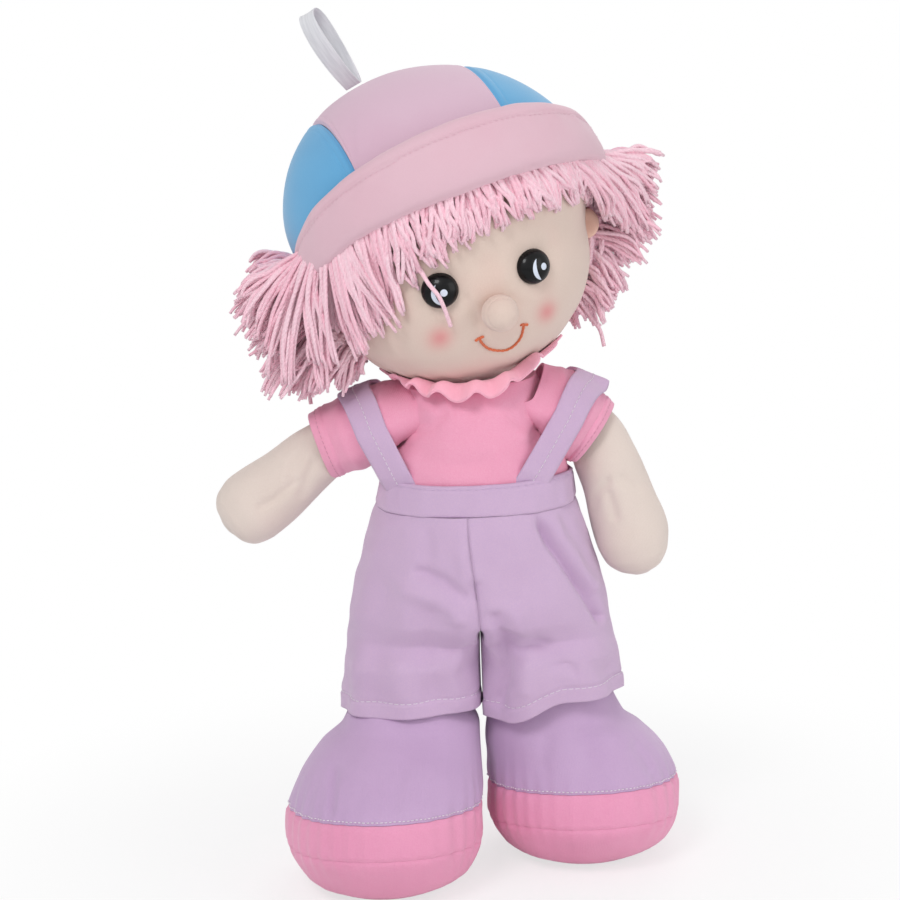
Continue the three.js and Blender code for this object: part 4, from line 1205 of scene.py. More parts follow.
@dataclass
class Shirt:
    """T-shirt of one trunk piece and two set-in sleeves, with a gathered collar ruffle."""

    shop: Workshop
    hem: float = 189.0
    top: float = 255.6
    grow: float = 1.8
    thickness: float = 1.5
    side_lift: float = 24.0
    rows: int = 96
    columns: int = 240
    sleeve_rows: int = 44
    sleeve_columns: int = 120
    sleeve_split: float = 0.5
    sleeve_sink: float = 3.2
    sleeve_length: float = 47.0
    sleeve_hem: float = 6.5
    ruffle_inner: Pair = (29.0, 29.5)
    ruffle_outer: float = 41.0
    ruffle_seat: float = 248.6
    ruffle_thickness: float = 1.1
    ruffle_gathers: int = 16
    ruffle_rows: int = 12
    ruffle_columns: int = 340
    folds: tuple[Fold, ...] = (
        Fold(((-42.7, 253.0), (-41.7, 239.5), (-37.5, 229.9)), 2.2, 1.1),
        Fold(((-24.1, 231.5), (-32.2, 226.0), (-35.2, 220.3)), 3.2, 1.0),
        Fold(((-20.0, 236.0), (-27.5, 232.0), (-33.0, 231.0)), 3.0, -0.9),
        Fold(((33.6, 233.8), (30.5, 228.0), (29.1, 221.0)), 3.0, 1.0),
        Fold(((37.0, 240.0), (33.0, 230.0), (24.0, 223.0)), 3.4, -0.8),
        Fold(((-24.0, 214.0), (-10.0, 211.5), (6.0, 212.5)), 4.0, 0.7),
        Fold(((-14.0, 236.0), (-20.0, 229.0), (-27.0, 226.0)), 2.4, 1.1),
        Fold(((16.0, 236.0), (22.0, 228.0), (27.0, 224.0)), 2.4, 1.1),
        Fold(((10.0, 226.0), (18.0, 221.0), (22.0, 213.0)), 4.5, 0.5),
        Fold(((0.0, 238.0), (-3.0, 230.0), (-9.0, 223.0)), 4.0, 0.45),
        Fold(((-20.0, 230.0), (0.0, 223.0), (22.0, 231.0)), 5.0, 0.7, False),
        Fold(((-26.0, 214.0), (-6.0, 208.0), (20.0, 212.0)), 4.5, 0.8, False),
    )

    def build(self) -> None:
        """Makes the trunk piece, both sleeves and the collar."""
        self.body()
        for limb in LIMBS:
            self.sleeve(limb)
        self.collar()

    def body(self) -> None:
        """Makes the trunk piece: the trunk's rings grown by the cloth, its hem hitched up at the doll's right side."""
        share = np.linspace(0, 1, self.rows)[:, None]
        hitch = self.side_lift * bell(turns(self.columns) - np.pi, 0.5) * (1 - share) ** 2
        rings = TRUNK.rings(mix(self.hem, self.top, share) + hitch, self.columns, self.grow)
        loose = smoothstep(200.0, 206.0, rings[..., 2]) * smoothstep(252.0, 244.0, rings[..., 2])
        lift = (folded(rings, self.folds) + 0.45 * ripple(rings, 26.0, Seed.SHIRT)) * loose
        rings = HEAD.sunk(raised(rings, np.maximum(lift, -0.9)), 1.2, HEAD_LIMITS)
        surface = shell(rings, self.thickness * 0.85)
        made = self.shop.piece("shirt_body", surface, (SHIRT_CLOTH,), "shirt_cloth", ("tshirt",), "torso")
        self.shop.sheet(made, surface, "draped", ("torso_skin",))

    def sleeve_start(self, limb: Limb) -> Array:
        """Share of the sleeve's length at which it leaves the trunk, for each point round it, smoothed round it."""
        fine = np.linspace(-0.3, 0.6, 181)
        height, depth = limb.sleeve_size(fine, 0.0)
        tube = swept(limb.sleeve(fine), height, depth + limb.fill(fine), self.sleeve_columns)
        covered = TRUNK.holds(tube, self.grow - 0.6)
        last = fine[len(fine) - 1 - covered[::-1].argmax(0)]
        start = np.minimum(np.where(covered.any(0), last, 0.02), self.sleeve_split - 0.08)
        for _ in range(12):
            start = (np.roll(start, 1) + 2 * start + np.roll(start, -1)) / 4
        return start

    def sleeve(self, limb: Limb) -> None:
        """Makes one sleeve as two pieces that meet in one ring at the shoulder, where the arm turns."""
        word, rows = limb.side.word, np.linspace(0, 1, self.sleeve_rows)[:, None]
        upper = self.sleeve_grid(limb, mix(self.sleeve_start(limb), self.sleeve_split, rows))
        upper = raised(upper, -self.sleeve_sink * smoothstep(0.8, 0.0, rows))
        along = mix(self.sleeve_split, 1.0, rows)
        lower = self.sleeve_grid(limb, np.broadcast_to(along, (len(rows), self.sleeve_columns)))
        root, pivot, end = limb.sleeve(np.array([0.12, self.sleeve_split, 0.92]))
        surface = shell(HEAD.sunk(upper, 0.8), self.thickness * 0.9)
        made = self.shop.piece(f"sleeve_{word}_yoke", surface, (SHIRT_CLOTH, PINK_THREAD), "shirt_cloth")
        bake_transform(made)
        self.shop.sheet(made, surface, "draped", (f"arm_{word}_skin",))
        row = closed(lower[-7])
        surface = shell(HEAD.sunk(lower, 0.8), self.thickness * 0.9)
        surface = merged(surface, stitches(row, unit(row - row.mean(0)), 2.6, 1.7, 0.16).finished(1))
        finishes, nodes = (SHIRT_CLOTH, PINK_THREAD), (f"sleeve_{word}",)
        made = self.shop.piece(f"sleeve_{word}_cuff", surface, finishes, "shirt_cloth", nodes)
        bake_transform(made)
        self.shop.sheet(made, surface, "draped", (f"arm_{word}_skin",))

    def sleeve_grid(self, limb: Limb, along: Array) -> Array:
        """Grid of the sleeve's outer face, with its soft folds, at a share of the sleeve's length for each point."""
        angle = turns(along.shape[1])
        line = limb.sleeve(along)
        tangent = unit(limb.sleeve(along + 0.01) - line)
        across = stacked(-tangent[..., 2], 0.0, tangent[..., 0])
        height, depth = limb.sleeve_size(along, -0.1)
        open_end = smoothstep(0.82, 1.0, along)
        wave = 1 + 0.035 * open_end * np.cos(3 * angle + 0.8) + 0.02 * open_end * np.cos(5 * angle)
        side = (height * wave * np.cos(angle))[..., None] * across
        points = line + side + ((depth + limb.fill(along)) * wave * np.sin(angle))[..., None] * BACKWARD
        hem_groove = -0.5 * bell((1 - along) * self.sleeve_length - self.sleeve_hem, 0.7)
        soft = 0.6 * ripple(points, 20.0, Seed.SLEEVE + limb.side.value)
        soft = soft + 0.5 * np.cos(9 * along * np.pi + 2 * np.sin(angle))
        return raised(points, hem_groove + soft * smoothstep(0.12, 0.3, along) * smoothstep(0.97, 0.85, along) * 0.8)

    def collar(self) -> None:
        """Makes the ruffle: a frill from an inner oval to an outer one, its edge in uneven gathers, under the chin."""
        angle, share = turns(self.ruffle_columns), np.linspace(0, 1, self.ruffle_rows)[:, None]
        uneven = self.ruffle_gathers * angle + 0.9 * np.sin(3 * angle + 0.6) + 0.5 * np.sin(5 * angle)
        wave = (np.cos(uneven) + 0.35 * np.cos(2 * uneven + 1.0)) * share**0.8
        across, deep = (mix(inner, self.ruffle_outer, share) + 1.9 * wave for inner in self.ruffle_inner)
        x, y = across * np.cos(angle), deep * np.sin(angle)
        flank, left = np.cos(angle) ** 2, smoothstep(0.3, 0.9, np.cos(angle))
        inner = self.ruffle_seat + 1.5 * flank + 3.5 * left
        outer = self.ruffle_seat - 5.0 + 11.5 * flank + 5.0 * left
        crest = 2.6 * np.sin(np.pi * share)
        z = mix(inner, outer, share) + 0.08 * x + crest + 2.5 * np.sin(uneven + 0.9) * share**0.8 + 0.8
        points = HEAD.sunk(stacked(x, y, z), 0.9)
        upward = np.broadcast_to([0.0, 0.0, 1.0], points.shape)
        surface = shell(points, self.ruffle_thickness, outward=upward)
        made = self.shop.piece("collar_frill", surface, (RUFFLE_CLOTH,), "ruffle_cloth", ("collar_ruffle",), "torso")
        self.shop.sheet(made, surface, "gathered", ("shirt_body",))


# Dungarees


@dataclass
class Dungarees:
    """Shorts of two halves, a waistband, and two straps over the shoulders."""

    shop: Workshop
    waist: float = 187.0
    band_width: float = 13.0
    crotch: float = 126.0
    hem: float = 80.0
    thickness: float = 1.5
    rows: int = 150
    outer: int = 150
    inner: int = 50
    band_grow: float = 4.1
    band_thickness: float = 1.7
    band_rows: int = 26
    band_columns: int = 240
    band_stitch_row: int = 22
    strap_thickness: float = 2.0
    strap_width: float = 15.5
    strap_columns: int = 19
    strap_leg: int = 60
    strap_arc: int = 64
    strap_low: float = 197.0
    strap_rear: float = 22.0
    strap_top: float = 62.0
    strap_foot: dict[Side, float] = field(default_factory=lambda: {Side.RIGHT: 30.0, Side.LEFT: 17.0})
    hem_rise: dict[Side, Pair] = field(
        default_factory=lambda: {Side.RIGHT: (7.0, 7.0), Side.LEFT: (1.0, 13.0)}
    )
    seat_width: float = 59.0
    seat_front: float = 44.0
    seat_back: float = 38.0
    leg_out: float = 34.5
    leg_width: float = 32.0
    leg_gap: float = -0.7
    leg_depth: float = 37.0
    inner_corner: float = 138.0
    blend_heights: Pair = (133.0, 106.0)
    fullness: float = 2.2
    hem_fold: float = 7.5
    seam_slant: float = 4.5
    seat_heights: Row = (-0.09, 0, 0.12, 0.3, 0.6, 0.86, 1)
    seat_widths: Row = (1.08, 1.07, 1.06, 1.025, 0.95, 0.87, 0.815)
    seat_fronts: Row = (0.66, 0.84, 0.96, 1, 1, 0.985, 0.96)
    seat_backs: Row = (0.66, 0.84, 0.96, 1, 1, 0.96, 0.93)
    leg_heights: Row = (0, 0.3, 0.6, 0.84, 1)
    leg_widths: Row = (1.03, 1, 0.98, 0.95, 0.93)
    leg_depths: Row = (0.9, 0.96, 1, 0.97, 0.8)
    leg_outs: Row = (1.02, 1.02, 1, 0.99, 0.97)
    folds: tuple[Fold, ...] = (
        Fold(((0.0, 190.0), (0.0, 148.0)), 1.0, 0.35),
        Fold(((0.0, 154.0), (0.0, 128.0)), 3.0, 1.5),
        Fold(((-3.0, 190.0), (-4.0, 160.0), (-12.0, 138.0)), 4.0, -0.8),
        Fold(((27.0, 190.0), (34.0, 173.0), (43.0, 158.0), (52.0, 144.0), (58.0, 130.0)), 2.2, 3.2),
        Fold(((33.0, 190.0), (40.0, 173.0), (48.0, 158.0), (55.0, 146.0)), 3.0, -1.4),
        Fold(((-27.4, 160.9), (-16.0, 157.5), (-6.2, 149.7)), 3.2, 1.6),
        Fold(((-34.0, 152.0), (-20.0, 148.0), (-9.0, 139.0)), 4.5, -1.2),
        Fold(((8.0, 138.0), (12.0, 122.0), (10.0, 104.0), (7.0, 92.0)), 3.6, 2.0),
        Fold(((18.0, 140.0), (22.0, 120.0), (20.0, 100.0)), 4.5, -1.4),
        Fold(((14.0, 128.0), (30.0, 122.0), (44.0, 108.0)), 3.4, 1.1),
        Fold(((34.0, 112.0), (48.0, 114.0), (60.0, 106.0)), 4.0, 1.2),
        Fold(((-24.0, 140.0), (-26.0, 118.0), (-24.0, 98.0)), 5.5, 1.1),
        Fold(((-46.0, 150.0), (-50.0, 122.0), (-52.0, 96.0)), 6.0, 0.9),
        Fold(((-8.0, 126.0), (-14.0, 108.0), (-12.0, 92.0)), 4.0, -0.9),
        Fold(((-24.0, 188.0), (-22.0, 176.0), (-24.0, 162.0)), 3.5, 0.8),
        Fold(((0.5, 188.0), (0.0, 160.0), (0.0, 130.0)), 1.4, 1.4, False),
        Fold(((-30.0, 186.0), (-32.0, 160.0), (-26.0, 140.0)), 4.0, 1.4, False),
        Fold(((30.0, 186.0), (31.0, 158.0), (26.0, 140.0)), 4.0, 1.4, False),
        Fold(((-44.0, 130.0), (-26.0, 124.0), (-8.0, 128.0)), 4.0, 1.3, False),
        Fold(((44.0, 130.0), (26.0, 123.0), (8.0, 128.0)), 4.0, 1.3, False),
    )

    def build(self) -> None:
        """Makes the waistband, both halves of the shorts and both straps."""
        self.waistband()
        for limb in LIMBS:
            self.half(limb.side)
            self.strap(limb)

    def waistband(self) -> None:
        """Makes the band round the waist, with rounded edges, a slight wave and a row of stitches at its top."""
        share, angle = np.linspace(0, 1, self.band_rows)[:, None], turns(self.band_columns)
        rings = TRUNK.rings(mix(self.waist + 0.2, self.waist + self.band_width, share), len(angle), self.band_grow)
        edge = -0.4 * bell(share, 0.05) - 1.1 * bell(1 - share, 0.05)
        seam = -0.35 * bell(share - 0.86, 0.035)
        lift = edge + seam + 0.35 * ripple(rings, 18.0, Seed.WAISTBAND) + 0.15 * np.cos(24 * angle)
        rings = raised(rings, lift - 1.8 * bell(angle - np.pi, 0.5) * share)
        taller = 2.8 * smoothstep(-0.3, 0.7, -np.sin(angle))
        rings[..., 2] += (0.5 * np.cos(2 * angle + 0.5) + taller) * share
        surface = shell(rings, self.band_thickness)
        row = closed(rings[self.band_stitch_row])
        both = merged(surface, stitches(row, unit(row - row.mean(0)) * [1, 1, 0], 3.4, 1.7, 0.12).finished(1))
        finishes = (SHORTS_CLOTH, LILAC_THREAD)
        made = self.shop.piece("waist_band", both, finishes, "shorts_cloth", ("waistband",), "torso")
        self.shop.sheet(made, surface, "stretched", ("shirt_body",))

    def seat_ring(self, z: Array) -> tuple[Array, Array]:
        """X and Y of the half ovals round the seat, each closed by a straight row of points along the middle."""
        share = (z - self.crotch) / (self.waist - 0.3 - self.crotch)
        arc = np.linspace(-np.pi / 2, np.pi / 2, self.outer)
        width = self.seat_width * table(self.seat_heights, self.seat_widths, share)
        front = self.seat_front * table(self.seat_heights, self.seat_fronts, share)
        back = self.seat_back * table(self.seat_heights, self.seat_backs, share)
        x = width * fuller(np.abs(np.cos(arc)), self.fullness)
        y = np.where(np.sin(arc) > 0, back, front) * fuller(np.sin(arc), self.fullness)
        middle = mix(-front, back, (np.cos(np.linspace(0, np.pi, self.inner + 2))[1:-1] + 1) / 2)
        return np.concatenate([x, np.zeros(middle.shape)], axis=1), np.concatenate([y, middle], axis=1)

    def half_grid(self, side: Side) -> Array:
        """Grid of one half: an open arc over the hip that turns into a closed tube round the thigh below the crotch.

        Above the crotch the arc is half of the seat's oval. Below it the ring is the leg's oval. Between two heights
        a smooth share blends one into the other. In front the hem rises, by one length at the inner side and by
        another at the outer side.

        Args:
            side: Which half.

        Returns:
            Rows by points by three.
        """
        z = np.linspace(self.waist + 0.1, self.hem, self.rows)[:, None]
        seat_x, seat_y = self.seat_ring(z)
        leg = (z - self.hem) / (self.crotch + self.band_width - self.hem)
        corner = np.radians(self.inner_corner)
        inside = np.linspace(corner, 2 * np.pi - corner, self.inner + 2)[1:-1]
        turn = np.concatenate([np.linspace(-corner, corner, self.outer), inside])
        ripples = 1 + 0.03 * (1 - np.clip(leg, 0, 1)) * np.cos(7 * turn + side.value)
        middle = self.leg_out * table(self.leg_heights, self.leg_outs, leg)
        width = self.leg_width * table(self.leg_heights, self.leg_widths, leg)
        depth = self.leg_depth * table(self.leg_heights, self.leg_depths, leg)
        reach = np.where(np.cos(turn) < 0, middle - self.leg_gap, width)
        leg_x = middle + reach * fuller(np.cos(turn), self.fullness) * ripples
        leg_y = depth * fuller(np.sin(turn), self.fullness) * ripples
        share = smoothstep(*self.blend_heights, z)
        x = np.maximum(mix(seat_x, leg_x, share), 0.3 * share)
        lower = smoothstep(128.0, self.hem, z)
        rise = mix(*self.hem_rise[side], smoothstep(10.0, 40.0, leg_x))
        hem = rise * smoothstep(-0.9, 0.5, -leg_y / self.leg_depth) * lower
        sway = 0.7 * np.sin(2 * turn + side.value) * lower
        return stacked(x * side.value, mix(seat_y, leg_y, share), z + hem + sway)

    def half(self, side: Side) -> None:
        """Makes one half of the shorts, with a turned-up hem and its row of stitches."""
        grid = self.half_grid(side)
        x, y, z = (grid[..., axis].copy() for axis in range(3))
        depth = z[-1] + self.hem_fold - z
        turned = 0.45 * smoothstep(0.0, 0.8, depth) - 0.45 * bell(depth, 0.8)
        soft = 0.9 * ripple(grid, 34.0, Seed.SHORTS + side.value)
        soft = soft + 0.35 * ripple(grid, 13.0, Seed.SHORTS_FINE + side.value)
        normal = grid_normals(grid, True, stacked(x - side.value * 26.0, y, 0.0))
        middle = bell(x, 3.0) * smoothstep(self.crotch, self.crotch + 8.0, z)
        normal = unit(mix(normal, np.sign(y)[..., None] * BACKWARD, middle[..., None]))
        drape = smoothstep(self.waist + 0.5, self.waist - 9.0, z)
        calm = smoothstep(0.0, 5.0, np.abs(x)) * smoothstep(self.waist + 1, self.waist - 6, z)
        lift = 1.7 * folded(grid, self.folds) * drape + turned + soft * calm
        grid = grid + normal * lift[..., None]
        grid[..., 0] = side.value * np.maximum(side.value * grid[..., 0], 0.0)
        slant = self.seam_slant * smoothstep(self.crotch, self.waist, grid[..., 2]) * (grid[..., 1] < 0)
        grid[..., 0] -= slant * bell(grid[..., 0], 16.0)
        kept = np.ones((self.rows - 1, self.outer + self.inner), bool)
        kept[grid[:-1, 0, 2] > self.crotch, self.outer - 1 :] = False
        surface = shell(grid, self.thickness * 0.8, True, kept, normal)
        row = int(np.abs(depth[:, 0]).argmin())
        both = merged(surface, stitches(closed(grid[row]), closed(normal[row]), 3.1, 2.1, 0.2).finished(1))
        word, finishes = side.word, (SHORTS_CLOTH, WHITE_THREAD)
        made = self.shop.piece(f"shorts_{word}_half", both, finishes, "shorts_cloth", (f"shorts_{word}",))
        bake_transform(made)
        self.shop.sheet(made, surface, "draped", ("torso_skin", f"leg_{word}_upper"))

    def strap_rays(self, limb: Limb) -> tuple[Array, Array, Array]:
        """Rays from inside the shirt to the strap, ring by ring from its lower end in front to the one behind.

        The strap's middle goes from its foot in front out to its top and back in to its lower end behind.

        Args:
            limb: The arm under the strap.

        Returns:
            Where the rays start, their directions, and the pitch of each ring: 0 in front, pi behind.
        """
        sign, centre, rise = limb.side.value, limb.shoulder_height - 6.0, 256.0 - self.waist
        up = np.linspace(self.strap_low, centre, self.strap_leg)[:-1]
        down = np.linspace(centre, self.strap_low, self.strap_leg)[1:]
        heights = np.concatenate([up, np.full(self.strap_arc, centre), down])
        pitch = np.concatenate([0 * up, np.linspace(0, np.pi, self.strap_arc), np.full(len(down), np.pi)])
        level = heights + 20.0 * np.sin(pitch)
        top, feet = self.strap_top, (self.strap_foot[limb.side], self.strap_rear)
        front_x, rear_x = (foot + (top - foot) * (level - self.waist) / rise for foot in feet)
        x = mix(front_x, rear_x, smoothstep(0.35 * np.pi, 0.65 * np.pi, pitch))
        slopes = (np.arctan2(top - foot, rise) for foot in feet)
        lean = mix(*slopes, smoothstep(1.0, 2.2, pitch))
        across = unit(stacked(np.ones(len(x)), 0.0, -np.tan(lean) * np.abs(np.cos(pitch))))
        spread = np.linspace(-0.5, 0.5, self.strap_columns) * self.strap_width
        middle = stacked(sign * x, 0.0, heights)
        origin = middle[:, None] + across[:, None] * spread[None, :, None] * np.array([1.0, 1.0, sign])
        return origin, stacked(0.0, -np.cos(pitch), np.sin(pitch))[:, None], pitch

    def strap_reach(self, limb: Limb, origin: Array, way: Array, pitch: Array) -> Array:
        """How far along its ray each point of the strap lies: on the shirt and sleeve, taut and not too steep across.

        Args:
            limb: The arm under the strap.
            origin: Where the rays start.
            way: Their directions.
            pitch: The pitch of each ring.

        Returns:
            One distance per point.
        """
        near, far = np.zeros(origin.shape[:2]), np.full(origin.shape[:2], 70.0)
        grow = self.strap_thickness + 0.45
        for _ in range(22):
            half_way = (near + far) / 2
            spot = origin + way * half_way[..., None]
            inside = TRUNK.holds(spot, 1.8 + grow) | limb.sleeve_holds(spot, grow)
            near, far = np.where(inside, half_way, near), np.where(inside, far, half_way)
        slope = mix(2.5, 0.4, np.sin(pitch) ** 0.5)[:, None]
        step = slope * self.strap_width / (self.strap_columns - 1) * np.arange(self.strap_columns)
        rightwards = np.maximum.accumulate(near + step, axis=1) - step
        leftwards = np.maximum.accumulate((near - step)[:, ::-1], axis=1)[:, ::-1] + step
        reach = np.maximum(rightwards, leftwards)
        third = self.strap_arc // 3
        for leg_rows in (slice(0, self.strap_leg + third), slice(self.strap_leg + 2 * self.strap_arc // 3, None)):
            taut = reach[leg_rows]
            for _ in range(1500):
                taut[1:-1] = np.maximum(taut[1:-1], (taut[:-2] + taut[2:]) / 2)
        reach = reach - 2.5 * (1 - smoothstep(199.5, 206.0, origin[:, self.strap_columns // 2, 2]))[:, None]
        for _ in range(6):
            reach[1:-1] = (reach[:-2] + 2 * reach[1:-1] + reach[2:]) / 4
        return reach

    def strap(self, limb: Limb) -> None:
        """Makes one strap: a strip laid on the shirt from the band up, over the shoulder and down the back.

        Each point is where a ray from inside the shirt leaves the union of the trunk and the sleeve. The rays point
        forward below the shoulder, turn over it, and point back behind it.

        Args:
            limb: The arm under the strap.
        """
        origin, way, pitch = self.strap_rays(limb)
        grid = HEAD.sunk(origin + way * self.strap_reach(limb, origin, way, pitch)[..., None], 1.0)
        away = np.broadcast_to(way, grid.shape)
        edge = np.abs(np.linspace(-1, 1, self.strap_columns)) ** 8
        normal = grid_normals(grid, False, away)
        grid = grid - normal * (0.5 * edge)[None, :, None]
        surface = shell(grid, self.strap_thickness * 0.85, False, None, away)
        column = self.strap_columns // 2
        seam = stitches(grid[6:-6, column], normal[6:-6, column], 2.7, 1.8, 0.2)
        word, sign, finishes = limb.side.word, limb.side.value, (SHORTS_CLOTH, WHITE_THREAD)
        both = merged(surface, seam.finished(1))
        made = self.shop.piece(f"strap_{word}_webbing", both, finishes, "shorts_cloth", (f"strap_{word}",))
        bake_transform(made)
        self.shop.sheet(made, surface, "draped", ("shirt_body", f"sleeve_{word}_yoke"))


# Limbs


@dataclass
class Arms:
    """The stuffed arms, and the flat tabs that carry them at the shoulders."""

    shop: Workshop
    half_width: float = 18.0
    half_depth: float = 15.4
    rows: int = 130
    columns: int = 110
    tab_reach: float = 17.0
    tab_half_height: float = 6.5
    tab_half_thickness: float = 1.2
    shares: Row = (0, 0.14, 0.26, 0.4, 0.55, 0.7, 0.82, 0.91, 0.97, 1)
    widths: Row = (0.5, 0.58, 0.72, 0.84, 0.89, 0.96, 1, 0.88, 0.6, 0.22)
    depths: Row = (0.22, 0.42, 0.68, 0.86, 0.94, 0.97, 1, 0.88, 0.6, 0.22)
    creases: tuple[Fold, ...] = (
        Fold(((-85.9, 200.8), (-96.6, 192.2), (-102.5, 189.4)), 2.4, 1.4),
        Fold(((-76.8, 209.5), (-83.3, 194.7)), 3.0, 1.3),
        Fold(((-79.8, 223.0), (-87.2, 205.3)), 3.0, 1.0),
        Fold(((62.9, 195.5), (56.9, 188.2), (54.5, 180.8)), 2.6, 1.5),
        Fold(((63.5, 189.5), (66.2, 178.8)), 2.6, 1.2),
        Fold(((70.2, 196.7), (78.9, 191.9)), 2.8, 1.2),
        Fold(((-84.0, 206.0), (-96.0, 196.0)), 3.0, 1.3, False),
        Fold(((58.0, 190.0), (80.0, 186.0)), 3.0, 1.3, False),
    )

    def build(self) -> None:
        """Makes both arms and both tabs."""
        for limb in LIMBS:
            self.arm(limb)
            self.tab(limb)

    def arm(self, limb: Limb) -> None:
        """Makes one arm: rings along its middle line, creased, with the seam of its two halves along both edges."""
        share = 1 - (1 - np.linspace(0, 1, self.rows)) ** 1.4
        width = self.half_width * table(self.shares, self.widths, share)
        depth = self.half_depth * table(self.shares, self.depths, share)
        rings, share = swept(limb.arm(share), width, depth, self.columns), share[:, None]
        seam = -0.7 * bell(np.sin(turns(self.columns)) * 16.0, 0.9) * smoothstep(0.1, 0.3, share)
        lift = folded(rings, self.creases) + seam + 0.55 * ripple(rings, 24.0, Seed.ARM + limb.side.value)
        rings = raised(rings, lift * (smoothstep(0.0, 0.3, share) * smoothstep(1.0, 0.97, share)))
        word = limb.side.word
        nodes = (f"arm_{word}_cover", f"arm_{word}_filling")
        made = self.shop.piece(f"arm_{word}_skin", skin(rings), (BODY_CLOTH,), "body_cloth", nodes, f"arm_{word}")

    def tab(self, limb: Limb) -> None:
        """Makes one flat tab: from the trunk to the shoulder point, and on along the arm."""
        start = limb.arm(np.zeros(1))[0]
        way = unit(limb.arm(np.array([0.02]))[0] - start)
        inward = np.array([-float(limb.side.value), 0.0, 0.0])
        share = np.linspace(-1, 1, 41)[:, None]
        line = start + np.where(share < 0, inward * -share, way * share) * (self.tab_reach - 0.2)
        end = np.sqrt(np.clip(1 - np.abs(share[:, 0]) ** 6, 0.01, 1))
        rings = swept(line, self.tab_half_height * end, self.tab_half_thickness * end, 40, 3.0)
        word = limb.side.word
        name, node, body = f"shoulder_strip_{word}", f"shoulder_tab_{word}", f"shoulder_{word}"
        self.shop.piece(name, skin(rings), (BODY_CLOTH,), "body_cloth", (node,), body)


